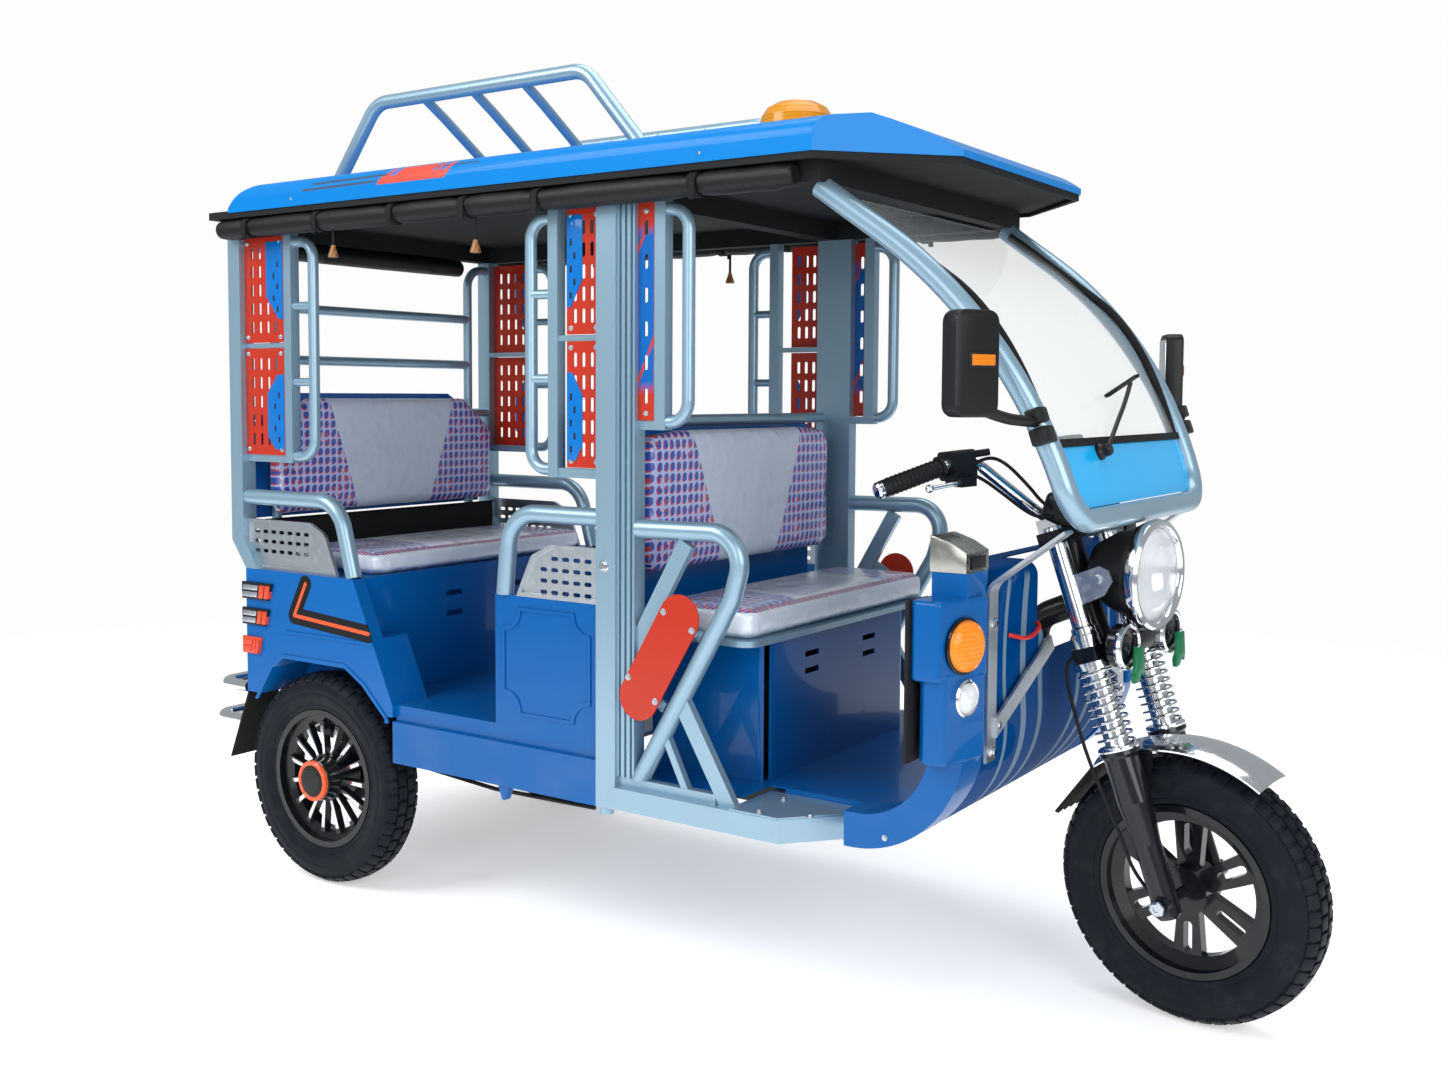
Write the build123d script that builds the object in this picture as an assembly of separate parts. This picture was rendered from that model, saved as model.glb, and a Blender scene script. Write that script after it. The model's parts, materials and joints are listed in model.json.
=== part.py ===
"""Electric passenger tricycle: open tube-framed body, steered front fork, two driven rear wheels.

Millimetres.  +X is forward, +Y is the vehicle's left, +Z is up.  Everything is laid out from the
rear axle's centre on the ground (x = 0, y = 0, z = 0) and moved at the end, so that the origin is
on the ground under the middle of the vehicle's length and width.
"""
from build123d import *
from math import cos, radians, sin
import os

# ---------------------------------------------------------------- wheels and running gear
TYRE_R = 255.0            # 3.75-12 tyre, outside radius
TYRE_W = 98.0
RIM_R = 166.0             # outside radius of the rim's lips
RIM_W = 78.0
RIM_WALL = 5.0
WHEELBASE = 1933.0
DRAWN_BASE = 1933.0       # the wheelbase that the steered pieces' points are written for
HALF_TRACK = 417.0
AXLE_R = 30.0
SHAFT_R = 17.0
RUN_GAP = 0.3             # running clearance round shafts and pins
WHEEL_GAP = 22.0          # free space round a rear tyre in its well

# ---------------------------------------------------------------- body
BODY_HALF = 466.0         # outer faces of pillars, sills and fenders
SHEET = 3.0
FLOOR_Z = 468.0           # passenger floor
FOOT_Z = 400.0            # driver's footboard
SILL_LOW = 335.0
SILL_TOP = 431.0
SILL_STEP = 12.0
TUB_TOP = 749.0           # rear fenders and bench
TUB_REAR = -258.0
TUB_FRONT = 128.0
WELL_SIDE_FRONT = 258.0   # foot of the fenders' slanting front edge
BOX_HALF = 354.0          # inside faces of the wheel boxes
ARCH_TOP = 537.0
BOX_TOP = 613.0           # the wheel boxes are lower than the fenders' skin
FENDER_DEEP = 430.0       # inside face of that skin's boxed edge
PLATE_PITCH = 160.0       # two holes for a number plate in the tub's back
PLATE_Z = 600.0
PLATE_HOLE_R = 3.5
SIDE_REAR = 567.0
SIDE_TOP = 752.0

# ---------------------------------------------------------------- frame
POST_Y = 40.0             # pillar tube, across
B_REAR = 855.0
B_POST = 50.0
B_CHANNEL = 45.0
C_REAR = -310.0
C_POST = 44.0
C_KNEE_Z = 818.0
RAIL_LOW = 1570.0
RAIL_TOP = 1612.0
HEADER_X = 1372.0
HEADER = 34.0
TUBE = 38.0               # arm rails
LOOP_TUBE = 32.0
RUNG_TUBE = 20.0
STRIP = 26.0              # square uprights beside the panels
BENCH_TUBE = 25.0
ARM_Z = 914.0
REAR_ARM_Z = 926.0
MID_ARM_Z = 931.0
ARM_Y = BODY_HALF - 20.0
HOOP_HALF = BODY_HALF - 116.0
STEP_LOW = 340.0
STEP_TOP = 385.0
STEP_WIDE = 28.0
STEP_FRONT = 1427.0
STEP_CORNER = 1300.0
STEP_INNER = 318.0

# ---------------------------------------------------------------- panels
PANEL_T = 2.5
PANEL_TOP = 1561.0
PANEL_MID = 1299.0
PANEL_LOW = 1032.0
PANEL_GAP = 7.0
SLOT_W = 9.0
SLOT_L = 30.0
GUARD_T = 3.0

# ---------------------------------------------------------------- roof
ROOF_HALF = 512.0
ROOF_REAR = -326.0
SHELL_REAR = -246.0       # the painted shell ends ahead of the black rain lip under it
ROOF_SHOULDER = 1380.0
ROOF_NOSE = 1576.0
ROOF_NOSE_HALF = 304.0
ROOF_LOW = 1622.0
ROOF_TOP = 1682.0         # where the sides turn into the top
ROOF_CROWN = 1712.0
ROOF_NOSE_TOP = 1630.0
ROOF_WALL = 4.0
ROOF_ROUND = 36.0
RIM_LOW = 1604.0
CURTAIN_D = 48.0
RACK_TUBE = 32.0
RACK_HALF = 360.0
RACK_TOP = 1863.0

# ---------------------------------------------------------------- windshield
SCREEN_TUBE = 42.0
SCREEN_TOP = (1352.0, 430.0, 1566.0)
SCREEN_KNEE = (1712.0, 400.0, 1306.0)
SCREEN_FOOT = (1822.0, 362.0, 966.0)
SCREEN_BEND = 900.0
SCREEN_CORNER = 75.0
GLASS_T = 5.0
GLASS_LOW = 1100.0
GLASS_TOP = 1552.0
PANEL_HIGH = 1099.7
PANEL_FOOT = 988.0

# ---------------------------------------------------------------- seats
SEAT_Z = 700.0
SEAT_T = 62.0
DRIVER_HALF = 400.0
BENCH_FRONT = 1170.0
BENCH_REAR = 882.0
BENCH_HALF = 305.0
REAR_SEAT_HALF = 405.0
BACK_T = 48.0
SOFT_GAP = 0.3

# ---------------------------------------------------------------- front end
COWL_HALF = 366.0
COWL_FRONT = 1665.0
COWL_REAR = 1440.0
COWL_TOP = 872.0
COLUMN_OUT = 455.0
COLUMN_DEEP = 66.0
COWL_LOW = 345.0
CAP_TOP = 940.0
FORK_SLOT = 128.0         # half the cowl's cut-out behind the fork, wide enough for full lock

# ---------------------------------------------------------------- steering and fork
RAKE = 18.7               # steering axis from the vertical, degrees
AXLE_LEAD = 35.0          # axle ahead of the steering axis
LEG_LEAD = 30.0
LEG_HALF = 98.0
STEER_REST = 9.0          # the bars stand turned to the vehicle's right
STANCHION_R = 19.0
COLLAR_R = 25.0
LEG_R = 33.0
SPRING_R = 36.0
SPRING_LOW = 289.0
SPRING_HIGH = 447.0
YOKE_LOW = 462.0
YOKE_HIGH = 690.0
YOKE_T = 26.0
HEAD_R = 26.0
BAR_R = 11.0
LAMP_R = 100.0
LAMP_Z = 848.0
LAMP_FACE = 1868.0
GUARD_REAR = 38.0         # rear end of the mudguard, degrees behind the vertical

REAR_OVERHANG = 440.0     # rear bumper's back face behind the axle
MIDDLE = (WHEELBASE + TYRE_R - REAR_OVERHANG) / 2

AXLE_F = Vector(WHEELBASE, 0, TYRE_R)
AHEAD = Vector(cos(radians(RAKE)), 0, sin(radians(RAKE)))
UP = Vector(-sin(radians(RAKE)), 0, cos(radians(RAKE)))
STEER_FOOT = AXLE_F - AHEAD * AXLE_LEAD
FORK = Plane(origin=STEER_FOOT, x_dir=AHEAD, z_dir=UP)


# ================================================================ helpers
def block(x0, x1, y0, y1, z0, z1):
    """A box between two corners."""
    middle = Pos((x0 + x1) / 2, (y0 + y1) / 2, (z0 + z1) / 2)
    return middle * Box(abs(x1 - x0), abs(y1 - y0), abs(z1 - z0))


def side_plate(points, y0, y1):
    """Points are (x, z); the outline is extruded from y0 up to y1."""
    plate = extrude(make_face(Polyline(*points, close=True)), amount=y1 - y0)
    return Pos(0, y1, 0) * Rot(90, 0, 0) * plate


def plan_plate(points, z0, z1):
    """Points are (x, y); the outline is extruded from z0 up to z1."""
    return Pos(0, 0, z0) * extrude(make_face(Polyline(*points, close=True)), amount=z1 - z0)


def tube(points, diameter, bend=60.0):
    """A round bar along straight runs joined by tangent arcs."""
    if len(points) > 2:
        path = FilletPolyline(*points, radius=bend)
    else:
        path = Line(*points)
    profile = Plane(origin=path @ 0, z_dir=path % 0) * Circle(diameter / 2)
    return sweep(profile, path=path)


def flat_bar(points, width, y0, y1, bend=None):
    """A flat bar whose centre line is (x, z) points and whose thickness runs from y0 to y1."""
    line = [(x, y0, z) for x, z in points]
    if len(line) > 2:
        path = FilletPolyline(*line, radius=bend)
    else:
        path = Line(*line)
    profile = Plane(origin=path @ 0, x_dir=(0, 1, 0), z_dir=path % 0) * Rectangle(abs(y1 - y0), width)
    return Pos(0, (y1 - y0) / 2, 0) * sweep(profile, path=path)


def both(shape):
    """The shape and its mirror image on the other side of the vehicle."""
    return shape + mirror(shape, about=Plane.XZ)


def spun(points, axis_y=True):
    """Points are (radius, along); revolved about Y (or Z)."""
    turned = revolve(make_face(Polyline(*points, close=True)), axis=Axis.Y)
    return turned if axis_y else Rot(90, 0, 0) * turned


def cylinder_y(radius, x, z, y0, y1):
    """A round bar across the vehicle."""
    return Pos(x, (y0 + y1) / 2, z) * Rot(90, 0, 0) * Cylinder(radius, abs(y1 - y0))


def cylinder_x(radius, y, z, x0, x1):
    """A round bar along the vehicle."""
    return Pos((x0 + x1) / 2, y, z) * Rot(0, 90, 0) * Cylinder(radius, abs(x1 - x0))


def steered(shape):
    """Turns a piece of the front end about the steering axis to where it stands parked."""
    return shape.rotate(Axis(STEER_FOOT, UP), -STEER_REST)


def drawn(shape):
    """A steered piece whose points are written for DRAWN_BASE, moved with the front axle and turned."""
    return steered(Pos(WHEELBASE - DRAWN_BASE, 0, 0) * shape)


def in_fork(shape):
    """A piece modelled in the fork's own frame, put where the fork is and turned with it."""
    return steered(FORK.location * shape)


PARTS = {}


def part(name, shape):
    """Files a piece under its node's name, moved to the vehicle's middle."""
    solids = shape.solids() if hasattr(shape, "solids") else [one.solid() for one in shape]
    PARTS[name] = Compound(solids).moved(Location((-MIDDLE, 0, 0)))


# ================================================================ wheels
def tyre():
    half = TYRE_W / 2
    bead = RIM_W / 2 - RIM_WALL - SOFT_GAP
    outline = [
        (RIM_R - 8, -bead), (RIM_R + SOFT_GAP, -bead), (RIM_R + 5, -bead - 4), (RIM_R + 30, -half + 2), (RIM_R + 52, -half),
        (TYRE_R - 16, -half + 5), (TYRE_R - 3, -half + 20), (TYRE_R, 0),
        (TYRE_R - 3, half - 20), (TYRE_R - 16, half - 5), (RIM_R + 52, half), (RIM_R + 30, half - 2),
        (RIM_R + 5, bead + 4), (RIM_R + SOFT_GAP, bead), (RIM_R - 8, bead),
    ]
    return spun(outline)


def rim_barrel():
    half = RIM_W / 2
    seat = RIM_R - 8 - SOFT_GAP
    well = seat - 22
    outline = [
        (RIM_R, -half), (RIM_R, -half + RIM_WALL), (seat, -half + RIM_WALL), (seat, -16), (well, -9), (well, 9),
        (seat, 16), (seat, half - RIM_WALL), (RIM_R, half - RIM_WALL), (RIM_R, half), (seat - 5, half),
        (seat - 5, 20), (well - 6, 12), (well - 6, -12), (seat - 5, -20), (seat - 5, -half),
    ]
    return spun(outline)


SPOKE_END = RIM_R - 8 - 22 - 3


def front_wheel():
    """Cast wheel: six broad spokes, each pierced by a long slot."""
    wheel = rim_barrel() + cylinder_y(46, 0, 0, -34, 34)
    for k in range(6):
        spoke = plan_spoke(44, SPOKE_END, 21, 29, 22)
        slot = Pos(96, 0, 0) * Rot(90, 0, 0) * extrude(SlotOverall(62, 17), amount=30, both=True)
        wheel += Rot(0, 60 * k + 30, 0) * (spoke - slot)
    return wheel - cylinder_y(SHAFT_R * 0.6 + RUN_GAP, 0, 0, -60, 60)


def plan_spoke(r0, r1, half0, half1, thick):
    """A flat spoke along +X in the wheel's plane, half0 wide at the hub and half1 at the rim."""
    return side_plate([(r0 - 6, -half0), (r1, -half1), (r1 + 4, 0), (r1, half1), (r0 - 6, half0)],
                      -thick / 2, thick / 2)


def rear_wheel():
    """Cast wheel with fifteen narrow spokes and a hub that stands out; outer side towards -Y."""
    wheel = rim_barrel() + cylinder_y(56, 0, 0, -26, 40)
    for k in range(15):
        spoke = side_plate([(50, -5), (SPOKE_END + 4, -7), (SPOKE_END + 4, 7), (50, 5)], -24, -6)
        wheel += Rot(0, 24 * k, 0) * spoke
    hub = spun([(0, -26), (54, -26), (50, -58), (42, -66), (0, -66)])
    wheel += hub
    return wheel - cylinder_y(SHAFT_R + RUN_GAP, 0, 0, -20, 60)


def wheels():
    front = Pos(AXLE_F.X, 0, AXLE_F.Z)
    part("front_tyre", steered(front * tyre()))
    part("front_wheel", steered(front * front_wheel()))
    right = Pos(0, -HALF_TRACK, TYRE_R)
    part("rear_tyre_right", right * tyre())
    part("rear_wheel_right", right * rear_wheel())
    part("rear_tyre_left", mirror(right * tyre(), about=Plane.XZ))
    part("rear_wheel_left", mirror(right * rear_wheel(), about=Plane.XZ))


# ================================================================ rear running gear
DRUM_IN = 300.0
RAIL_Y = 232.0
RAIL_W = 46.0
RAIL_Z0 = 346.0
RAIL_Z1 = 394.0


def rear_axle():
    face = HALF_TRACK - 42
    axle = cylinder_y(AXLE_R, 0, TYRE_R, -DRUM_IN, DRUM_IN)
    axle += both(cylinder_y(74, 0, TYRE_R, DRUM_IN, face - 8))
    axle += both(cylinder_y(SHAFT_R, 0, TYRE_R, face - 10, HALF_TRACK + 18))
    axle += Pos(0, 60, TYRE_R) * Sphere(92)
    axle += cylinder_x(74, 60, TYRE_R, 60, 300)
    axle += cylinder_x(80, 60, TYRE_R, 120, 262)
    for side in (-1, 1):
        y0 = side * (RAIL_Y + 2)
        y1 = side * (RAIL_Y + RAIL_W - 2)
        low = ThreePointArc((-330, y0, 330), (0, y0, 284), (330, y0, 330))
        high = ThreePointArc((330, y0, 344), (0, y0, 306), (-330, y0, 344))
        face_xz = make_face([low, Line((330, y0, 330), (330, y0, 344)), high, Line((-330, y0, 344), (-330, y0, 330))])
        axle += extrude(face_xz, amount=y1 - y0, dir=(0, 1, 0))
        axle += block(-55, 55, y0, y1, 272, 312)
    axle += tube([(10, -200, 248), (330, -200, 226), (640, -200, 232)], 10, 60)
    return axle


def chassis_rails():
    rails = both(block(-330, COWL_REAR - SOFT_GAP, RAIL_Y, RAIL_Y + RAIL_W, RAIL_Z0, RAIL_Z1))
    for x in (-330, 300, 580, 862, 1180, COWL_REAR - 40):
        rails += block(x, x + 38, -RAIL_Y - 10, RAIL_Y + 10, RAIL_Z0 + 6, RAIL_Z1)
    for x, reach in ((300, BODY_HALF - SHEET), (580, BODY_HALF - SHEET), (862, BODY_HALF - POST_Y)):
        rails += both(block(x, x + 38, RAIL_Y + RAIL_W - 5, reach, RAIL_Z0 + 12, RAIL_Z1))
    for x in (300, 440, 580, 720):
        rails += block(x, x + 30, -BODY_HALF + SILL_STEP + SHEET, BODY_HALF - SILL_STEP - SHEET, FLOOR_Z - SHEET - 22, FLOOR_Z - SHEET)
        rails += both(block(x, x + 30, RAIL_Y + 4, RAIL_Y + RAIL_W - 4, RAIL_Z1 - 4, FLOOR_Z - SHEET - 20))
    ahead = WHEELBASE - DRAWN_BASE
    neck = tube([(1422, 0, 376), (1530, 0, 424), (1606, 0, 600), (1618 + ahead, 0, 742), (1716 + ahead, 0, 786)], 50, 48)
    neck -= block(1380, 1430, -30, 30, 330, RAIL_Z0 + 6)
    stem_space = Pos(0, 0, (YOKE_LOW + YOKE_HIGH) / 2) * Cylinder(13 + RUN_GAP, YOKE_HIGH - YOKE_LOW)
    return rails + (neck + head_tube() - FORK.location * stem_space)


def head_tube():
    tube_z0 = YOKE_LOW + YOKE_T + RUN_GAP
    tube_z1 = YOKE_HIGH - RUN_GAP
    return FORK.location * (Pos(0, 0, (tube_z0 + tube_z1) / 2) * Cylinder(HEAD_R, tube_z1 - tube_z0))


# ================================================================ floor, tub and side panels
def tub_profile(inset=0.0):
    """Side outline of the rear body, drawn in by inset."""
    return [
        (TUB_REAR + inset, 440), (TUB_REAR + inset, TUB_TOP - inset), (TUB_FRONT - inset * 0.5, TUB_TOP - inset),
        (WELL_SIDE_FRONT - inset * 1.2, FLOOR_Z - 1), (WELL_SIDE_FRONT - inset * 1.2, 440),
    ]


def arch_profile(grow=0.0):
    """The wheel opening, a rounded arch over the tyre."""
    return [
        (-TYRE_R + 38 - grow, 380), (-TYRE_R + 38 - grow, 425), (-TYRE_R + 96 - grow * 0.7, ARCH_TOP - 26 + grow * 0.6),
        (-118, ARCH_TOP + grow), (100, ARCH_TOP + grow), (TYRE_R - 96 + grow * 0.7, ARCH_TOP - 34 + grow * 0.6),
        (TYRE_R - 20 + grow, 434), (TYRE_R - 20 + grow, 380),
    ]


def rear_tub():
    outer = side_plate(tub_profile(), -BODY_HALF, BODY_HALF)
    skirt = FENDER_DEEP
    outer -= block(TUB_FRONT, WELL_SIDE_FRONT + 10, -BOX_HALF, BOX_HALF, FLOOR_Z, TUB_TOP + 10)
    outer -= block(TUB_FRONT, WELL_SIDE_FRONT + 10, -skirt, skirt, BOX_TOP, TUB_TOP + 10)
    inner = side_plate(tub_profile(SHEET), -BODY_HALF + SHEET, BODY_HALF - SHEET)
    inner -= block(TUB_FRONT - SHEET, WELL_SIDE_FRONT + 10, -BOX_HALF - SHEET, BOX_HALF + SHEET, 300, TUB_TOP + 10)
    inner -= block(TUB_FRONT - SHEET, WELL_SIDE_FRONT + 10, -skirt - SHEET, skirt + SHEET, BOX_TOP - SHEET, TUB_TOP + 10)
    well_in = HALF_TRACK - TYRE_W / 2 - WHEEL_GAP
    inner -= both(side_plate(arch_profile(SHEET), well_in - SHEET, BODY_HALF))
    inner += block(TUB_FRONT, WELL_SIDE_FRONT, -BOX_HALF, BOX_HALF, 430, FLOOR_Z)
    shell = outer - inner
    shell -= both(side_plate(arch_profile(), well_in, BODY_HALF + 5))
    for z in (632, 683):
        shell -= both(block(TUB_FRONT - 5, TUB_FRONT + 5, 99, 157, z - 7, z + 7))
    rim = side_plate(arch_profile(10), -BODY_HALF - 3, -BODY_HALF + 1) - side_plate(arch_profile(), -BODY_HALF - 5, -BODY_HALF + 5)
    bead = side_plate([(-116, 599), (-110, 606), (196, 606), (198, 599)], -BODY_HALF - 3, -BODY_HALF + 1)
    shell += both(rim - block(-300, 300, -500, -400, 300, 425)) + both(bead)
    shell -= both(cylinder_x(PLATE_HOLE_R, PLATE_PITCH / 2, PLATE_Z, TUB_REAR - 5, TUB_REAR + 10))
    return shell


def floor_pan():
    """Passenger floor with stepped sills, and the driver's footboard."""
    x0 = WELL_SIDE_FRONT
    x1 = B_REAR + B_POST + B_CHANNEL / 2
    y = BODY_HALF
    section = [
        (-y + SILL_STEP, FLOOR_Z), (-y + SILL_STEP, SILL_TOP), (-y, SILL_TOP), (-y, SILL_LOW), (-y + 22, SILL_LOW),
        (-y + 22, SILL_LOW + SHEET), (-y + SHEET, SILL_LOW + SHEET), (-y + SHEET, SILL_TOP - SHEET),
        (-y + SILL_STEP + SHEET, SILL_TOP - SHEET), (-y + SILL_STEP + SHEET, FLOOR_Z - SHEET),
        (-y + 60, FLOOR_Z - SHEET), (-y + 60, FLOOR_Z),
    ]
    face = make_face(Polyline(*[(x0, a, z) for a, z in section], close=True))
    sill = extrude(face, amount=B_REAR - x0, dir=(1, 0, 0))
    hanger = side_plate([(580, SILL_LOW + 1), (612, SILL_LOW + 1), (600, 304), (592, 304)], -y + 4, -y + 22)
    floor = both(sill + hanger)
    floor += block(x0, BENCH_REAR - SOFT_GAP, -y + 60, y - 60, FLOOR_Z - SHEET, FLOOR_Z)
    floor += block(TUB_FRONT, x0, -BOX_HALF + SHEET, BOX_HALF - SHEET, FLOOR_Z - SHEET, FLOOR_Z)
    return floor


def footboard():
    half = BODY_HALF - POST_Y - 6
    wide = COWL_HALF - SOFT_GAP
    board = plan_plate([
        (BENCH_REAR, -half), (1186, -half), (1186, -STEP_INNER), (1432, -STEP_INNER), (1432, -wide), (1500, -wide),
        (1500, wide), (1432, wide), (1432, STEP_INNER), (1186, STEP_INNER), (1186, half), (BENCH_REAR, half),
    ], FOOT_Z - SHEET, FOOT_Z)
    lip = both(block(1222, 1430, STEP_INNER - SHEET, STEP_INNER, FOOT_Z - 40, FOOT_Z))
    neck_space = block(1402, 1500, -40, 40, FOOT_Z - SHEET, FOOT_Z)
    return board - neck_space + lip


def notched(x0, x1, z0, z1, notch):
    """A rectangle whose corners are scooped out by round notches."""
    face = make_face(Polyline((x0, z0), (x1, z0), (x1, z1), (x0, z1), close=True))
    for x in (x0, x1):
        for z in (z0, z1):
            face -= Pos(x, z) * Circle(notch)
    return face


def side_panels():
    """Panels beside the middle passengers, pressed with a raised line that has notched corners."""
    y = -BODY_HALF + SILL_STEP
    skin = side_plate([(SIDE_REAR, FLOOR_Z), (SIDE_REAR, SIDE_TOP), (B_REAR - SOFT_GAP, SIDE_TOP), (B_REAR - SOFT_GAP, FLOOR_Z)],
                      y, y + 22)
    line = notched(SIDE_REAR + 22, B_REAR - 22, FLOOR_Z + 26, SIDE_TOP - 24, 44)
    line -= notched(SIDE_REAR + 29, B_REAR - 29, FLOOR_Z + 33, SIDE_TOP - 31, 46)
    ridge = Pos(0, y + 1, 0) * Rot(90, 0, 0) * extrude(line, amount=4)
    return both(skin + ridge)


# ================================================================ frame
def pillars():
    y0 = -BODY_HALF
    y1 = -BODY_HALF + POST_Y
    front = B_REAR + B_POST
    b_post = block(B_REAR, front, y0, y1, SILL_LOW, RAIL_LOW)
    channel = block(front, front + B_CHANNEL, y0 + 5, y1, STEP_TOP + 20, RAIL_LOW)
    for k in range(3):
        x = front + 6 + k * 14
        channel -= block(x, x + 6, y0, y0 + 13, STEP_TOP, RAIL_LOW + 5)
    c_top = RAIL_LOW
    foot = 52
    c_post = side_plate([
        (C_REAR, c_top), (C_REAR, C_KNEE_Z), (C_REAR + foot, TUB_TOP), (C_REAR + foot + C_POST, TUB_TOP),
        (C_REAR + C_POST, C_KNEE_Z + 8), (C_REAR + C_POST, c_top),
    ], y0, y1)
    pad = Pos(B_REAR + 14, y0 + 20, SILL_LOW - 8) * Cylinder(15, 16)
    return both(b_post + channel + c_post + pad)


def top_rails():
    y1 = BODY_HALF - POST_Y
    rails = both(block(C_REAR, HEADER_X, y1, BODY_HALF, RAIL_LOW, RAIL_TOP))
    for x, w in ((C_REAR, C_POST), (B_REAR, B_POST), (HEADER_X - HEADER, HEADER)):
        rails += block(x, x + w, -y1, y1, RAIL_LOW, RAIL_TOP)
    return rails


LOOP_Y = BODY_HALF - 29.0


def loop(x_root, x_far, z_low, z_high, rungs):
    """A grab loop beside a pillar: a D of round tube on a square upright, tied by short rungs."""
    reach = x_far - x_root
    side = 1 if reach > 0 else -1
    centre = x_far - side * LOOP_TUBE / 2
    root = x_root + side * STRIP
    z0 = z_low + LOOP_TUBE / 2
    z1 = z_high - LOOP_TUBE / 2
    shape = tube([(root, -LOOP_Y, z0), (centre, -LOOP_Y, z0), (centre, -LOOP_Y, z1), (root, -LOOP_Y, z1)],
                 LOOP_TUBE * 0.8, 42)
    shape += block(x_root, root, -LOOP_Y - STRIP / 2, -LOOP_Y + STRIP / 2, z_low, RAIL_LOW)
    for z in rungs:
        shape += cylinder_x(RUNG_TUBE / 2, -LOOP_Y, z, root, centre)
    return shape


C_STRIP = -122.0
B_STRIP_R = 740.0
B_STRIP_F = 990.0


def guard_loops():
    rear = loop(C_STRIP, -13, 1014, PANEL_TOP, (1392, 1210))
    middle = loop(B_STRIP_R, 641, 1010, PANEL_TOP + 4, (1392, 1215))
    front = loop(B_STRIP_F, 1080, 1113, PANEL_TOP + 2, ())
    post_front = C_REAR + C_POST
    ties = block(post_front, C_STRIP, -LOOP_Y - 10, -LOOP_Y + 10, 1014, 1032)
    ties += block(post_front, C_STRIP, -LOOP_Y - 10, -LOOP_Y + 10, PANEL_MID - 6, PANEL_MID + 6)
    ties += block(B_STRIP_R, B_REAR, -LOOP_Y - 10, -LOOP_Y + 10, 1010, 1030)
    ties += block(B_STRIP_R, B_REAR, -LOOP_Y - 10, -LOOP_Y + 10, PANEL_MID - 6, PANEL_MID + 6)
    front_root = B_REAR + B_POST + B_CHANNEL
    ties += block(front_root, B_STRIP_F, -LOOP_Y - 10, -LOOP_Y + 10, 1113, 1131)
    return both(rear + middle + front + ties)


def seat_frames():
    """Hoops and rails behind the two benches, and the driver's seat tray."""
    post_in = BODY_HALF - POST_Y
    frames = None
    for x, bars in ((-280, (1400, 1268)), (868, (1375, 1255, 1222))):
        hoop = both(tube([(x, post_in, 1545), (x, HOOP_HALF, 1545), (x, HOOP_HALF, 812)], BENCH_TUBE, 50))
        for z in bars + (1128, 826):
            hoop += cylinder_y(BENCH_TUBE / 2, x, z, -HOOP_HALF, HOOP_HALF)
        hoop += both(cylinder_y(BENCH_TUBE / 2, x, 1128, HOOP_HALF, post_in))
        hoop += both(cylinder_y(BENCH_TUBE / 2, x, 826, HOOP_HALF, post_in))
        frames = hoop if frames is None else frames + hoop
    tray = block(BENCH_REAR - 4, BENCH_FRONT + 22, -DRIVER_HALF, DRIVER_HALF, SEAT_Z - 12, SEAT_Z)
    tray = fillet(tray.edges().filter_by(Axis.Z).sort_by(Axis.X)[-2:], 36)
    return frames + tray


def arm_rails():
    """Arm tubes over the fenders, over the side panels and beside the driver."""
    y = -ARM_Y
    rear = tube([(C_REAR + C_POST, y, REAR_ARM_Z), (62, y, REAR_ARM_Z), (112, y, TUB_TOP)], TUBE, 85)
    middle = tube([(B_REAR, y, MID_ARM_Z), (606, y, MID_ARM_Z), (588, y, SIDE_TOP)], TUBE, 80)
    root = B_REAR + B_POST + B_CHANNEL
    driver = tube([(root, y, ARM_Z), (1212, y, ARM_Z + 4), (1176, y, 790), (940, y, 376)], TUBE, 62)
    driver -= block(900, 1000, y - 40, y + 40, 300, 404)
    strut = flat_bar([(1070, 893), (890, 575)], 34, y - 8, y + 8)
    strut -= block(700, root, y - 40, y + 40, 400, 800)
    rails = rear + middle + (driver + strut + capsule_lugs())
    rails -= block(0, 200, y - 40, y + 40, TUB_TOP - 40, TUB_TOP)
    rails -= block(500, 700, y - 40, y + 40, SIDE_TOP - 40, SIDE_TOP)
    return both(rails) - pillars()


def step_rails():
    y = -BODY_HALF - 10
    w = STEP_WIDE
    front = B_REAR + B_POST
    band = [
        (front, y), (STEP_CORNER, y), (STEP_FRONT + 8, -STEP_INNER), (STEP_FRONT - 26, -STEP_INNER),
        (STEP_CORNER - 12, y + w), (front, y + w),
    ]
    rail = plan_plate(band, STEP_LOW, STEP_TOP)
    plate = plan_plate([(1190, y + 2), (STEP_CORNER - 1, y + 2), (STEP_FRONT + 4, -STEP_INNER), (1190, -STEP_INNER)],
                       STEP_TOP, STEP_TOP + 4)
    inner = block(front, 1145, -ARM_Y - 9, -ARM_Y + 9, STEP_TOP, STEP_TOP + 19)
    brace = flat_bar([(1062, 572), (1176, 380)], 34, -ARM_Y - 9, -ARM_Y + 9)
    brace2 = flat_bar([(1022, 500), (1078, 388)], 15, -ARM_Y - 8, -ARM_Y + 8)
    stays = brace + brace2
    stays -= block(900, 1400, y - 10, 0, 300, STEP_TOP)
    shape = rail + plate + inner + stays
    cross = block(front + 2, front + 40, -BODY_HALF + SHEET + 20, -RAIL_Y - RAIL_W, STEP_LOW + 4, STEP_TOP)
    cross += block(1180, 1218, y + w - 1, -RAIL_Y - RAIL_W, STEP_LOW + 8, STEP_TOP)
    return both(shape + cross)


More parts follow.
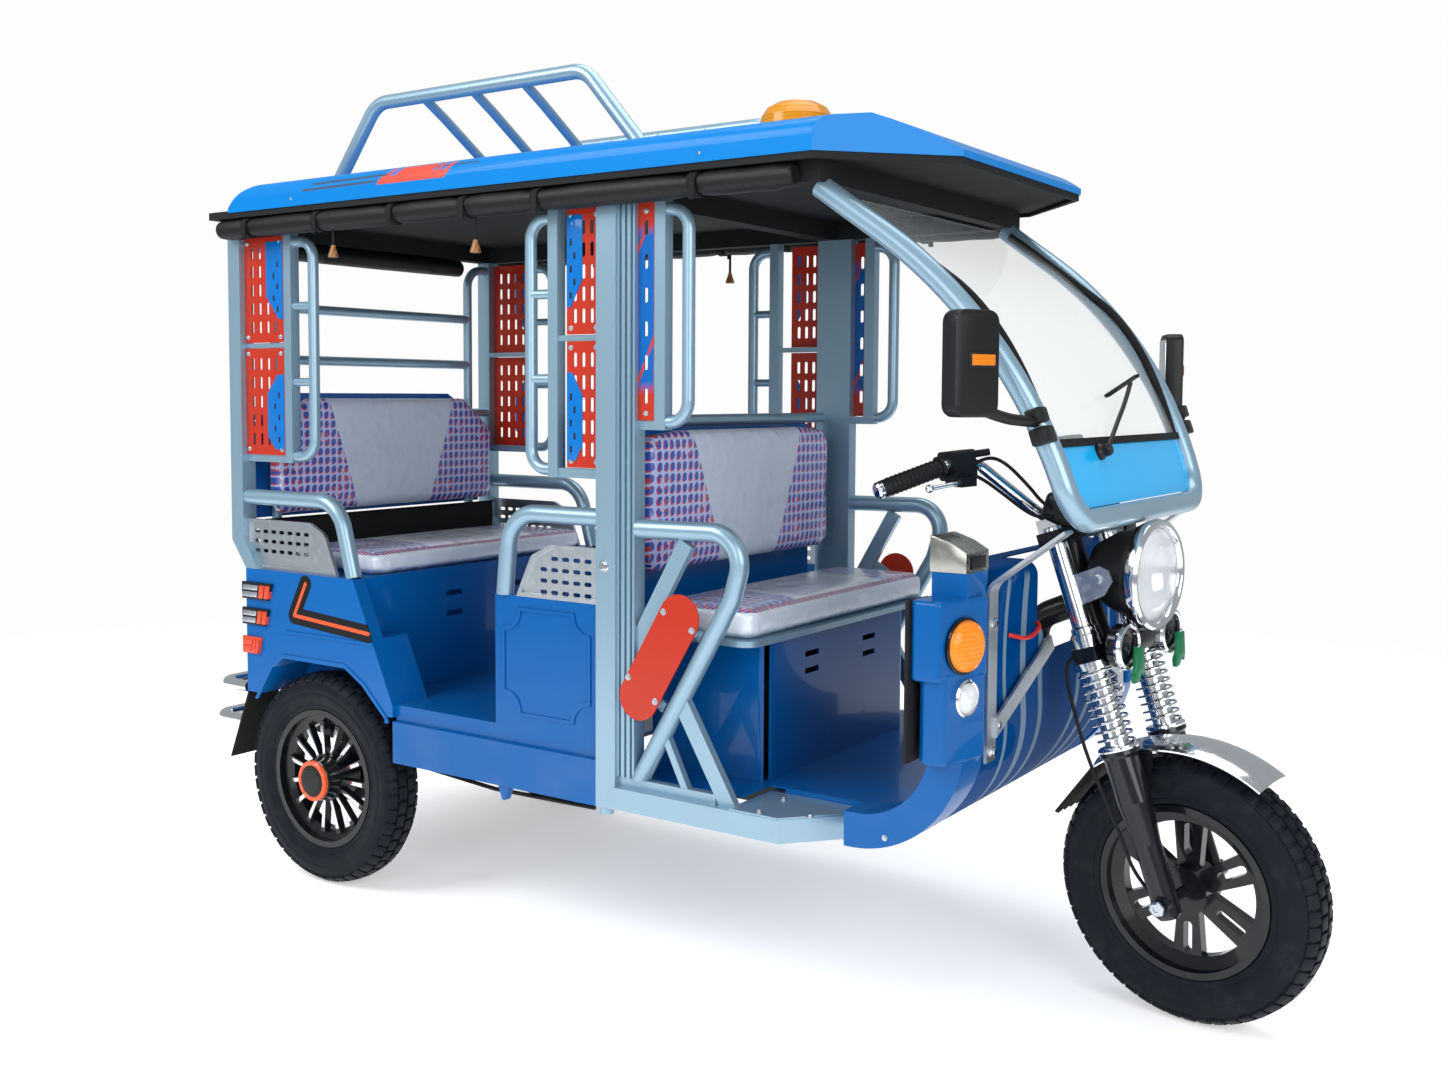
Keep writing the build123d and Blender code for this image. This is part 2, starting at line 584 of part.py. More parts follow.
# ================================================================ panels on the pillars
def slotted(x0, x1, z0, z1, columns, rows):
    """A panel pierced by upright slots in staggered columns."""
    y = -LOOP_Y - STRIP / 2 + 2
    panel = block(x0, x1, y - PANEL_T, y, z0, z1)
    pitch_x = (x1 - x0) / (columns + 1)
    pitch_z = (z1 - z0 - 30) / rows
    holes = None
    for i in range(columns):
        for j in range(rows):
            x = x0 + pitch_x * (i + 1)
            z = z0 + 15 + pitch_z * (j + 0.5)
            hole = Pos(x, y, z) * Rot(90, 0, 0) * extrude(SlotOverall(SLOT_L, SLOT_W, rotation=90), amount=10, both=True)
            holes = hole if holes is None else holes + hole
    return panel - holes


def red_panels():
    post_front = C_REAR + C_POST
    strip_in = B_REAR + B_POST + B_CHANNEL
    low, mid, top, gap = PANEL_LOW, PANEL_MID, PANEL_TOP, PANEL_GAP
    panels = slotted(post_front + SOFT_GAP, C_STRIP - SOFT_GAP, low, mid - gap, 4, 5)
    panels += slotted(post_front + SOFT_GAP, C_STRIP - SOFT_GAP, mid + gap, top, 4, 5)
    panels += slotted(B_STRIP_R + STRIP + SOFT_GAP, B_REAR - SOFT_GAP, low, mid - gap, 3, 5)
    panels += slotted(B_STRIP_R + STRIP + SOFT_GAP, B_REAR - SOFT_GAP, mid + gap, top, 3, 5)
    panels += slotted(strip_in + SOFT_GAP, B_STRIP_F - SOFT_GAP, 1132, top, 1, 6)
    return both(panels)


CAPSULE = (1015.5, 661.0)
CAPSULE_TILT = -59.7
CAPSULE_BOLTS = 88.0


def capsule_plates():
    """A long plate between the driver's arm tube and its strut."""
    plate = extrude(SlotOverall(290, 94), amount=GUARD_T)
    y = -ARM_Y - TUBE / 2 - SOFT_GAP
    return both(Pos(CAPSULE[0], y, CAPSULE[1]) * Rot(0, CAPSULE_TILT, 0) * Rot(90, 0, 0) * plate)


def capsule_lugs():
    """Lugs between the arm tube and the strut, with spacers that carry the long plate."""
    lugs = None
    for along in (-CAPSULE_BOLTS, CAPSULE_BOLTS):
        lug = Pos(along, 2, 0) * Box(22, 112, 8)
        for across in (-40, 40):
            lug += Pos(along, across, TUBE / 4) * Cylinder(7, TUBE / 2)
        lugs = lug if lugs is None else lugs + lug
    return Pos(CAPSULE[0], -ARM_Y, CAPSULE[1]) * Rot(0, CAPSULE_TILT, 0) * Rot(90, 0, 0) * lugs


def guard_plates():
    """Pierced plates under the arm tubes, each with a raised rim along its curved edge."""
    y = -ARM_Y
    plates = None
    for root, tip, sill, top, columns in ((C_REAR + C_POST, 62, TUB_TOP, 872, 7), (B_REAR, 628, SIDE_TOP, 868, 5)):
        side = 1 if tip > root else -1
        outline = Polyline((root, sill), (root, top), (tip - side * 95, top), (tip - side * 42, top - 26), (tip, sill), close=True)
        face = make_face(outline)
        face = fillet(face.vertices().filter_by(lambda v: v.Y > sill + 5 and abs(v.X - root) > 5), 24)
        inner = offset(face, -9)
        plate = extrude(face, amount=GUARD_T) + extrude(face - inner, amount=3 * GUARD_T)
        for row in range(3 if columns == 7 else 4):
            z = top - 30 - row * 24
            for k in range(columns):
                x = root + side * (34 + k * 30)
                if side * (tip - x) > 50 + (top - z) * -0.35 + 40:
                    plate -= Pos(x, z, 0) * extrude(SlotOverall(19, 9), amount=2 * GUARD_T)
        plates = plate if plates is None else plates + plate
    return both(Pos(0, y, 0) * Rot(90, 0, 0) * plates)


# ================================================================ roof
def roof_outline(inset=0.0):
    half = ROOF_HALF - inset
    nose = ROOF_NOSE - inset
    return [
        (ROOF_REAR + inset, -half), (ROOF_SHOULDER, -half), (nose, -ROOF_NOSE_HALF + inset),
        (nose, ROOF_NOSE_HALF - inset), (ROOF_SHOULDER, half), (ROOF_REAR + inset, half),
    ]


def roof_block(inset=0.0):
    """Plan, side and cross profile of the roof together: sloped tail, visor falling to a thin lip, crowned top."""
    rear = SHELL_REAR + inset
    nose = ROOF_NOSE - inset
    half = ROOF_HALF - inset
    low = ROOF_LOW - 5
    crown = ROOF_CROWN - inset
    edge = ROOF_TOP - inset
    plan = plan_plate([
        (rear, -half), (ROOF_SHOULDER, -half), (nose, -ROOF_NOSE_HALF + inset),
        (nose, ROOF_NOSE_HALF - inset), (ROOF_SHOULDER, half), (rear, half),
    ], low, ROOF_CROWN + 10)
    side = make_face([
        Line((rear, low), (rear, ROOF_LOW + 6)),
        ThreePointArc((rear, ROOF_LOW + 6), (rear + 42, edge - 20), (rear + 130, edge + 4)),
        Line((rear + 130, edge + 4), (rear + 300, crown)),
        Line((rear + 300, crown), (ROOF_SHOULDER - 30, crown)),
        ThreePointArc((ROOF_SHOULDER - 30, crown), (ROOF_SHOULDER + 80, crown - 26), (nose, ROOF_NOSE_TOP - inset)),
        Line((nose, ROOF_NOSE_TOP - inset), (nose, low)),
        Line((nose, low), (rear, low)),
    ])
    turn = half - ROOF_ROUND
    cross = make_face([
        Line((-half, low), (-half, edge - ROOF_ROUND)),
        ThreePointArc((-half, edge - ROOF_ROUND), (-half + 10, edge - 11), (-turn, edge)),
        ThreePointArc((-turn, edge), (0, crown), (turn, edge)),
        ThreePointArc((turn, edge), (half - 10, edge - 11), (half, edge - ROOF_ROUND)),
        Line((half, edge - ROOF_ROUND), (half, low)),
        Line((half, low), (-half, low)),
    ])
    along = Pos(0, 600, 0) * Rot(90, 0, 0) * extrude(side, amount=1200)
    across = Plane(origin=(-500, 0, 0), x_dir=(0, 1, 0), z_dir=(1, 0, 0)).location * extrude(cross, amount=2400)
    return plan & along & across


def roof_shell():
    return roof_block() - roof_block(ROOF_WALL) - plan_plate(roof_outline(2.5), ROOF_LOW - 10, ROOF_LOW)


def roof_lining():
    ring = plan_plate(roof_outline(3), RIM_LOW, ROOF_LOW)
    hollow = plan_plate(roof_outline(13), RIM_LOW - 1, RAIL_TOP)
    return ring - hollow


def roof_rack():
    z = ROOF_TOP
    y = -RACK_HALF
    low_y = -150.0
    rail_z = ROOF_CROWN + 24
    hoop = tube([(-30, y, z), (112, y, RACK_TOP), (742, y, RACK_TOP), (900, y, z)], RACK_TUBE, 70)
    rack = hoop
    for x in (263, 414, 565):
        rack += tube([(x, y, RACK_TOP), (x, y + 70, RACK_TOP - 40), (x, low_y, rail_z)], 22, 80)
    rack += cylinder_x(12, low_y, rail_z, 150, 690)
    for x in (180, 660):
        rack += Pos(x, low_y, rail_z - 24) * Cylinder(9, 48)
    return both(rack) - roof_block()


def beacon():
    z = ROOF_CROWN - 6
    dome = spun([(0, z), (90, z), (90, z + 16), (84, z + 20), (83, z + 56), (78, z + 84), (66, z + 102), (44, z + 114),
                 (0, z + 120)], False)
    return Pos(1044, 0, 0) * dome - roof_block()


def rolled_curtains():
    y = -BODY_HALF - SOFT_GAP - CURTAIN_D / 2
    z = RIM_LOW - SOFT_GAP - CURTAIN_D / 2
    side = both(cylinder_x(CURTAIN_D / 2, y, z, -300, 1335))
    rear_z = RAIL_LOW - SOFT_GAP - CURTAIN_D / 2
    rear = cylinder_y(CURTAIN_D / 2, C_REAR + C_POST / 2, rear_z, -325, 325)
    return side + rear


# ================================================================ windshield
def screen_curve():
    """Side view of the windshield, two runs joined by a big arc, drawn as (x, z) in the XY plane."""
    x0, _, z0 = SCREEN_TOP
    x1, _, z1 = SCREEN_KNEE
    x2, _, z2 = SCREEN_FOOT
    return FilletPolyline((x0, z0), (x1, z1), (x2, z2), radius=SCREEN_BEND)


def windshield_frame():
    def left(p):
        return (p[0], p[1], p[2])

    def right(p):
        return (p[0], -p[1], p[2])

    points = [right(SCREEN_TOP), right(SCREEN_KNEE), right(SCREEN_FOOT), left(SCREEN_FOOT), left(SCREEN_KNEE), left(SCREEN_TOP)]
    radii = [SCREEN_BEND, SCREEN_CORNER, SCREEN_CORNER, SCREEN_BEND]
    path = FilletPolyline(*points, radius=radii)
    profile = Plane(origin=path @ 0, z_dir=path % 0) * Circle(SCREEN_TUBE / 2)
    return sweep(profile, path=path)


def screen_sheet(thick):
    """A curved sheet across the whole width, centred on the side tubes' centre lines."""
    return Rot(90, 0, 0) * extrude(trace(screen_curve(), thick), amount=500, both=True)


def screen_window(z0, z1, corner=0):
    """The space between the frame's sides from z0 to z1, its lower corners rounded by corner."""
    _, y_top, z_top = SCREEN_TOP
    _, y_foot, z_foot = SCREEN_FOOT
    slope = (y_top - y_foot) / (z_top - z_foot)
    edge = SCREEN_TUBE / 2 + 2 * SOFT_GAP

    def half(z):
        return y_foot + slope * (z - z_foot) - edge

    points = [(-half(z0), z0), (half(z0), z0), (half(z1), z1), (-half(z1), z1)]
    face = make_face(Polyline(*points, close=True))
    if corner:
        face = fillet(face.vertices().sort_by(Axis.Y)[:2], corner)
    return Plane(origin=(1200, 0, 0), x_dir=(0, 1, 0), z_dir=(1, 0, 0)).location * extrude(face, amount=800)


# ================================================================ front body
def cowl_outline(inset=0.0):
    """Side outline of the nose: upright front that curls under to the footboard."""
    f = COWL_FRONT - inset
    low = COWL_LOW + inset
    return [
        Line((1560, 0, COWL_TOP - inset), (f - 30, 0, COWL_TOP - inset)),
        ThreePointArc((f - 30, 0, COWL_TOP - inset), (f - 9, 0, COWL_TOP - 9 - inset), (f, 0, COWL_TOP - 30 - inset)),
        Line((f, 0, COWL_TOP - 30 - inset), (f, 0, 590)),
        ThreePointArc((f, 0, 590), (f - 62, 0, 430 + inset * 0.7), (f - 215, 0, low)),
        Line((f - 215, 0, low), (COWL_REAR, 0, low)),
    ]


def nose_cowl():
    lines = cowl_outline()
    lines += [Line((COWL_REAR, 0, COWL_LOW), (COWL_REAR, 0, COWL_LOW + 8))]
    lines += [Line((1560, 0, COWL_TOP), (COWL_REAR, 0, COWL_LOW + 8))]
    outer = extrude(make_face(lines), amount=COWL_HALF, both=True)
    inner_lines = cowl_outline(SHEET) + [Line((1440, 0, COWL_LOW + SHEET), (1400, 0, COWL_LOW + SHEET)),
                                         Line((1400, 0, COWL_LOW + SHEET), (1400, 0, COWL_TOP - SHEET)),
                                         Line((1400, 0, COWL_TOP - SHEET), (1560, 0, COWL_TOP - SHEET))]
    inner = extrude(make_face(inner_lines), amount=COWL_HALF + 10, both=True)
    shell = outer - inner
    slot = make_face(Polyline((-FORK_SLOT, 760), (-60, 690), (60, 690), (FORK_SLOT, 760), (FORK_SLOT, 1000),
                              (-FORK_SLOT, 1000), close=True))
    cutter = Plane(origin=(1590, 0, 0), x_dir=(0, 1, 0), z_dir=(1, 0, 0)).location * extrude(slot, amount=200)
    return shell - cutter


def shield_band():
    """The J of a leg shield: a column that curls back under the footboard's front corner."""
    f = COWL_FRONT
    back = f - COLUMN_DEEP
    outline = [
        Line((back, 0, COWL_TOP + 4), (f, 0, COWL_TOP + 4)),
        Line((f, 0, COWL_TOP + 4), (f, 0, 590)),
        ThreePointArc((f, 0, 590), (f - 62, 0, 425), (f - 215, 0, 357)),
        Line((f - 215, 0, 357), (f - 235, 0, 357)),
        Line((f - 235, 0, 357), (f - 235, 0, 422)),
        Line((f - 235, 0, 422), (f - 200, 0, 422)),
        ThreePointArc((f - 200, 0, 422), (back - 42, 0, 464), (back, 0, 560)),
        Line((back, 0, 560), (back, 0, COWL_TOP + 4)),
    ]
    return make_face(outline)


def leg_shields():
    band = extrude(shield_band(), amount=COLUMN_OUT - COWL_HALF, dir=(0, -1, 0))
    return both(Pos(0, -COWL_HALF - SOFT_GAP, 0) * band)


def column_caps():
    f = COWL_FRONT
    cap = side_plate([
        (f - COLUMN_DEEP - 3, COWL_TOP + 4), (f + 3, COWL_TOP + 4), (f + 3, CAP_TOP - 28), (f - 26, CAP_TOP - 12),
        (f - COLUMN_DEEP + 8, CAP_TOP), (f - COLUMN_DEEP - 3, CAP_TOP),
    ], -COLUMN_OUT - 3, -COWL_HALF + 2)
    return both(cap)


TURN_Z = 754.0
TURN_R = 46.0
FOG_Z = 662.0
FOG_R = 31.0
POD_OUTER = (1650.0, -530.0)      # outer and inner ends of the pod's front face, in plan
POD_INNER = (1684.0, -395.0)
POD_REAR = 1590.0
POD_ROUND = 10.0
POD_STEP = 13.0                   # the lower half stands in by this


def pod_front(inset):
    """Plan of a pod's front face: its outer and its inner end."""
    outer = (POD_OUTER[0] + inset * 0.4, POD_OUTER[1] + inset)
    inner = (POD_INNER[0] - inset * 0.3, POD_INNER[1])
    return outer, inner


def pod_plan(inset):
    """Plan of a pod wrapped round the outer front corner of a leg shield's column."""
    side = -COLUMN_OUT - SOFT_GAP
    front = COWL_FRONT + SOFT_GAP
    outer, inner = pod_front(inset)
    rear = POD_REAR + inset
    return [
        (rear, side), (rear, outer[1] + 12), (rear + 12, outer[1]),
        outer, inner, (front, inner[1]), (front, side),
    ]


def pod_half(inset, z0, z1):
    """One bulge of a pod, its free edges rounded."""
    outer, inner = pod_front(inset)
    body = plan_plate(pod_plan(inset), z0, z1)
    upright = [e for e in body.edges().filter_by(Axis.Z) if e.center().Y < -COLUMN_OUT - 5 or e.center().X > inner[0] - 1]
    body = fillet(upright, POD_ROUND)
    ends = [e for f in (body.faces().sort_by(Axis.Z)[0], body.faces().sort_by(Axis.Z)[-1]) for e in f.edges()
            if e.center().Y < -COLUMN_OUT - 1 or e.center().X > COWL_FRONT + 4]
    return fillet(ends, POD_ROUND - 2)


def lamp_pods():
    return both(pod_half(0, 694, 834) + pod_half(POD_STEP, 548, 712))


def pod_lamp(z, radius, inset):
    """A domed lamp seated on a pod's front face."""
    outer, inner = pod_front(inset)
    dx = inner[0] - outer[0]
    dy = inner[1] - outer[1]
    seat = Plane(origin=(outer[0] + dx * 0.46, outer[1] + dy * 0.46, z), z_dir=(dy, -dx, 0))
    dome = spun([(0, 0), (radius, 0), (radius, 7), (radius * 0.92, 13), (radius * 0.6, 20), (0, 23)], False)
    return both(seat.location * dome)


BRACKET_W = 40.0
BRACKET_T = 6.0


def cowl_brackets():
    """Flat bars from the cowl's front up to the windshield frame, each with a diagonal to the fork's slot."""
    back = COWL_FRONT + SOFT_GAP
    x = back + BRACKET_T / 2
    y = -COWL_HALF + 14
    upright = flat_bar([(x, 528), (x, 846), (1806, 950)], BRACKET_T, y - BRACKET_W / 2, y + BRACKET_W / 2, 34)
    outline = Polyline((y + 10, 570), (y + 10, 606), (-84, 722), (-64, 694), close=True)
    plane = Plane(origin=(back + BRACKET_T, 0, 0), x_dir=(0, 1, 0), z_dir=(1, 0, 0))
    stay = plane.location * extrude(make_face(outline), amount=BRACKET_T)
    foot = block(back, back + BRACKET_T + 1, -96, -76, 698, 716)
    return both(upright + stay + foot) - windshield_frame()


# ================================================================ mirrors
def mirrors():
    housing = Box(44, 122, 160)
    housing = fillet(housing.edges().filter_by(Axis.X), 20)
    housing = fillet(housing.faces().sort_by(Axis.X)[-1].edges(), 12)
    place = Pos(1704, -556, 1236) * Rot(0, 0, -26)
    head = place * housing
    arm = tube([(1722, -520, 1172), (1752, -470, 1150), (1764, -418, 1140)], 18, 20)
    clamp = Pos(1770, -404, 1136) * Rot(0, 20, 0) * Box(34, 40, 70)
    return both(head + (arm - head) + clamp)


# ================================================================ rear fittings
def rear_bumper():
    shape = None
    for x, z in ((-REAR_OVERHANG + 32, 440), (-REAR_OVERHANG + 14, 352)):
        bar = tube([(x + 110, -430, z), (x, -430, z), (x, 430, z), (x + 110, 430, z)], 28, 40)
        shape = bar if shape is None else shape + bar
    for y in (-RAIL_Y - 10, RAIL_Y + 10):
        shape += block(-REAR_OVERHANG + 20, -330 - SOFT_GAP, y - 4, y + 4, 340, 452)
    return shape


def rear_mud_flaps():
    flap = side_plate([(-262, 480), (-258, 480), (-258, 436), (-330, 262), (-335, 262), (-262, 438)], -BODY_HALF + 4, -BODY_HALF + 100)
    return both(flap)


def tail_lamps():
    shape = None
    for z, length in ((694, 104), (630, 92), (558, 62)):
        bar = side_plate([
            (TUB_REAR - 8, z + 22), (TUB_REAR + length, z + 22), (TUB_REAR + length - 16, z - 20), (TUB_REAR - 8, z - 20),
        ], -BODY_HALF - 8, -BODY_HALF)
        wrap = block(TUB_REAR - 8, TUB_REAR, -BODY_HALF - 8, -BODY_HALF + 70, z - 20, z + 22)
        piece = bar + wrap
        shape = piece if shape is None else shape + piece
    return both(shape)


# ================================================================ seats
def padded(x0, x1, half, z0, z1, edge):
    pad = block(x0, x1, -half, half, z0, z1)
    return fillet(pad.edges(), edge)


def seats():
    part("rear_seat_cushion", padded(-190, 134, REAR_SEAT_HALF, TUB_TOP + SOFT_GAP, TUB_TOP + 56, 14))
    part("driver_seat_cushion", padded(BENCH_REAR + 44, 1196, DRIVER_HALF - 2, SEAT_Z + SOFT_GAP, SEAT_Z + SEAT_T, 14))
    back_x = -280 + BENCH_TUBE / 2 + SOFT_GAP
    part("rear_seat_back", seat_back(back_x, back_x + BACK_T, 404, 868, 1110, 1184, 280))
    drv_x = 868 + BENCH_TUBE / 2 + SOFT_GAP
    part("seat_back_shells", seat_back_shells())
    part("driver_seat_back", seat_back(drv_x, drv_x + BACK_T - 4, 384, 800, 1112, 1122, 250))


def seat_back_shells():
    """Painted panels behind the two backrests, following their outline."""
    back_x = -280 - BENCH_TUBE / 2 - SOFT_GAP - SHEET
    drv_x = 868 - BENCH_TUBE / 2 - SOFT_GAP - SHEET
    rear = seat_back_plate(back_x, 404, 868, 1110, 1184, 280)
    return rear + seat_back_plate(drv_x, 384, 800, 1112, 1122, 250)


def seat_back_plate(x, half, z0, z_side, z_mid, mid_half):
    points = [(-half, z0), (half, z0), (half, z_side), (mid_half, z_mid), (-mid_half, z_mid), (-half, z_side)]
    face = make_face(Polyline(*[(x, y, z) for y, z in points], close=True))
    return extrude(face, amount=SHEET, dir=(1, 0, 0))


def seat_back(x0, x1, half, z0, z_side, z_mid, mid_half):
    points = [(-half, z0), (half, z0), (half, z_side), (mid_half, z_mid), (-mid_half, z_mid), (-half, z_side)]
    face = make_face(Polyline(*[(x0, y, z) for y, z in points], close=True))
    body = extrude(face, amount=x1 - x0, dir=(1, 0, 0))
    front = body.faces().sort_by(Axis.X)[-1]
    return fillet(front.edges(), 16)


def driver_bench():
    outer = block(BENCH_REAR, BENCH_FRONT, -BENCH_HALF, BENCH_HALF, FOOT_Z, SEAT_Z - 12)
    inner = block(BENCH_REAR + SHEET, BENCH_FRONT - SHEET, -BENCH_HALF + SHEET, BENCH_HALF - SHEET, FOOT_Z - 5, SEAT_Z - 12 - SHEET)
    bench = fillet(outer.edges().filter_by(Axis.Z).sort_by(Axis.X)[-2:], 22) - inner
    for z in (604, 640):
        bench -= both(block(BENCH_FRONT - 5, BENCH_FRONT + 5, 98, 156, z - 6, z + 6))
    return bench


def brake_pedal():
    """A foot pedal hung from the cowl's back on the driver's right."""
    arm = flat_bar([(1640, 624), (1566, 604), (1500, 478)], 16, -154, -146, 30)
    pad = Pos(1492, -150, 466) * Rot(0, 40, 0) * Box(12, 72, 54)
    hanger = block(1610, COWL_FRONT - SHEET, -160, -140, 604, 644)
    return arm + pad + hanger


def battery_block():
    return block(BENCH_REAR + 12, BENCH_FRONT - 30, -BENCH_HALF + 20, BENCH_HALF - 20, FOOT_Z, FOOT_Z + 200)


# ================================================================ fork and steered pieces
def leg_pair(outline):
    """The same turned outline on both legs of the fork."""
    leg = spun(outline, False)
    return Pos(LEG_LEAD, -LEG_HALF, 0) * leg + Pos(LEG_LEAD, LEG_HALF, 0) * leg


def fork_legs():
    """Lower legs with the spring seats on top, the spindle, its nuts and the mudguard's lugs."""
    seat = SPRING_R + 2
    legs = leg_pair([
        (0, -30), (18, -30), (25, -22), (25, 110), (LEG_R, 190), (LEG_R, SPRING_LOW - 14),
        (seat, SPRING_LOW - 8), (seat, SPRING_LOW), (0, SPRING_LOW),
    ])
    legs += cylinder_y(SHAFT_R * 0.6, AXLE_LEAD, 0, -LEG_HALF - 40, LEG_HALF + 40)
    legs += both(cylinder_y(SHAFT_R, AXLE_LEAD, 0, LEG_HALF + 16, LEG_HALF + 34))
    lug = side_plate([(24, TYRE_R - 60), (70, TYRE_R - 10), (76, TYRE_R + 20), (56, TYRE_R + 24), (24, TYRE_R + 4)],
                     LEG_HALF - 36, LEG_HALF - 28)
    post = Pos(LEG_LEAD, LEG_HALF - 26, TYRE_R + 15) * Box(26, 20, 17)
    return legs + both(post) + both(lug)


def yokes():
    """Lower and upper yoke on the steering stem."""
    plate = None
    for z0 in (YOKE_LOW, YOKE_HIGH):
        outline = [(-30, -40), (-30, 40), (6, LEG_HALF + 26), (54, LEG_HALF + 22), (62, 40), (62, -40),
                   (54, -LEG_HALF - 22), (6, -LEG_HALF - 26)]
        one = plan_plate(outline, z0, z0 + YOKE_T)
        plate = one if plate is None else plate + one
    return plate + Pos(0, 0, (YOKE_LOW + YOKE_HIGH) / 2) * Cylinder(13, YOKE_HIGH - YOKE_LOW)


def stanchions():
    """Upper tubes with a collar above the lower yoke; the coils round them stand as ribs."""
    ribs = 9
    pitch = (SPRING_HIGH - SPRING_LOW) / ribs
    core = STANCHION_R + 5
    outline = [(0, SPRING_LOW), (core, SPRING_LOW)]
    for k in range(ribs):
        z = SPRING_LOW + pitch * k
        outline += [(SPRING_R - 3, z + 1), (SPRING_R, z + pitch * 0.2), (SPRING_R - 3, z + pitch * 0.4)]
        outline += [(core, z + pitch * 0.44), (core, z + pitch * 0.98)]
    over = YOKE_LOW + YOKE_T
    outline += [(core, SPRING_HIGH), (SPRING_R, SPRING_HIGH), (SPRING_R, YOKE_LOW), (STANCHION_R, YOKE_LOW)]
    outline += [(STANCHION_R, over), (COLLAR_R, over), (COLLAR_R, over + 22), (COLLAR_R - 2, over + 25)]
    outline += [(COLLAR_R - 2, over + 36), (STANCHION_R, over + 40)]
    outline += [(STANCHION_R, YOKE_HIGH + YOKE_T + 8), (0, YOKE_HIGH + YOKE_T + 8)]
    return leg_pair(outline)


def fork():
    tubes = stanchions()
    castings = fork_legs() + (yokes() - tubes)
    return in_fork(castings), in_fork(tubes)


GRIP = ((1548, -256, 1060), (1494, -368, 1026))     # ends of the right grip


def handlebar():
    """The bent bar in its clamp on the upper yoke."""
    points = [(1652, -44, 948), (1632, -62, 968), (1574, -160, 1058), (1558, -236, 1066), GRIP[1]]
    bar = tube(points, BAR_R * 2, [14, 40, 50])
    riser = FORK.location * (Pos(2, 0, YOKE_HIGH + YOKE_T + 14) * Box(60, 110, 28))
    return drawn(both(bar)) + steered(riser)


def bar_controls():
    """Grips with flanges, the switch boxes inboard of them, small switches and lever perches."""
    grip = tube(GRIP, 34)
    flange = tube([(1549, -252, 1060.5), (1546, -258, 1059)], 44)
    box = Pos(1561, -216, 1062) * Rot(0, -6, -14) * fillet(Box(46, 56, 56).edges().filter_by(Axis.Y), 8)
    switch = Pos(1570, -168, 1080) * Rot(0, -10, -20) * fillet(Box(24, 54, 14).edges().filter_by(Axis.Y), 4)
    perch = Pos(1574, -224, 1032) * Rot(0, 0, -14) * Box(44, 40, 18)
    return drawn(both(grip + flange + box + switch + perch) - both(tube([(1574, -160, 1058), (1558, -236, 1066), GRIP[1]],
                                                                          BAR_R * 2, 50)))


def brake_levers():
    """Hand levers ahead of the grips, each with a ball at its end."""
    lever = tube([(1582, -226, 1032), (1584, -262, 1031), (1566, -312, 1026)], 9, 30)
    return drawn(both(lever + Pos(1565, -316, 1026) * Sphere(8)))


CABLE_D = 7.0
WIRE_D = 8.0
FORK_ROUTE = [(-0.5, -110.2, 475), (-12, -116, 470), (-17, -128, 440), (-16, -138, 360), (-14, -140, 280),
              (-6, -134, 200), (-4, -122, 120), (-10, -108, 62), (4.5, -98, 22)]
BAR_ROUTES = [
    [(1569.5, -186.5, 1043), (1580, -168, 1036), (1602, -128, 1004), (1640, -94, 962), (1668, -84, 952), (1684, -74.8, 955)],
    [(1585.6, -192.6, 1064), (1594, -165, 1076), (1612, -130, 1064), (1644, -94, 1014), (1668, -86, 982), (1680, -74.8, 972)],
]
WIRE_ROUTE = [(COWL_FRONT + 0.5, -268, 746), (1678, -262, 743), (1680, -215, 733), (1680, -170, 738), (1677, -140, 749),
              (COWL_FRONT + 0.5, -132, 752)]


def fork_cables():
    """Cables from the switch boxes to the instrument housing, and one down the right leg to the hub."""
    bars = [both(tube(route, CABLE_D, 9)) for route in BAR_ROUTES]
    return drawn(bars[0] + bars[1]) + in_fork(tube(FORK_ROUTE, CABLE_D, 9))


def red_wire():
    return tube(WIRE_ROUTE, WIRE_D, 8)


def instrument():
    """The instrument housing over the upper yoke, behind the headlamp."""
    housing = Pos(1704, 0, 962) * Rot(0, 20, 0) * Box(96, 148, 58)
    housing = fillet(housing.edges(), 14)
    neck = Pos(1704, 0, 950) * Rot(0, RAKE, 0) * Box(40, 44, 36)
    return drawn(housing + neck)


def headlamp():
    shell = spun([(0, -16), (LAMP_R - 6, -16), (LAMP_R, -10), (LAMP_R, 12), (LAMP_R - 8, 26), (LAMP_R - 26, 70), (54, 108), (0, 118)])
    shell -= spun([(0, -20), (LAMP_R - 10, -20), (LAMP_R - 10, -6), (LAMP_R - 22, 40), (0, 60)])
    turned = Rot(0, 0, 90) * shell
    body = Pos(LAMP_FACE - 14, 0, LAMP_Z) * turned
    return body


def lamp_brackets():
    """Sheet brackets from the fork's upper tubes to the sides of the headlamp's bucket."""
    outline = make_face(Polyline((1738, 848), (1796, 872), (1816, 866), (1824, 846), (1808, 818), (1752, 790), close=True))
    hole = Pos(1792, 846) * Circle(5)
    plate = Pos(0, -LAMP_R - 1, 0) * Rot(90, 0, 0) * extrude(outline - hole, amount=4)
    pin = cylinder_y(9, 1792, 846, -LAMP_R - 12, -LAMP_R + 40)
    return both(plate + pin)


def lamp_glass():
    lens = spun([(0, -14), (LAMP_R - 10 - SOFT_GAP, -14), (LAMP_R - 10 - SOFT_GAP, -8), (0, -20 + 12)])
    return Pos(LAMP_FACE - 14, 0, LAMP_Z) * Rot(0, 0, 90) * lens


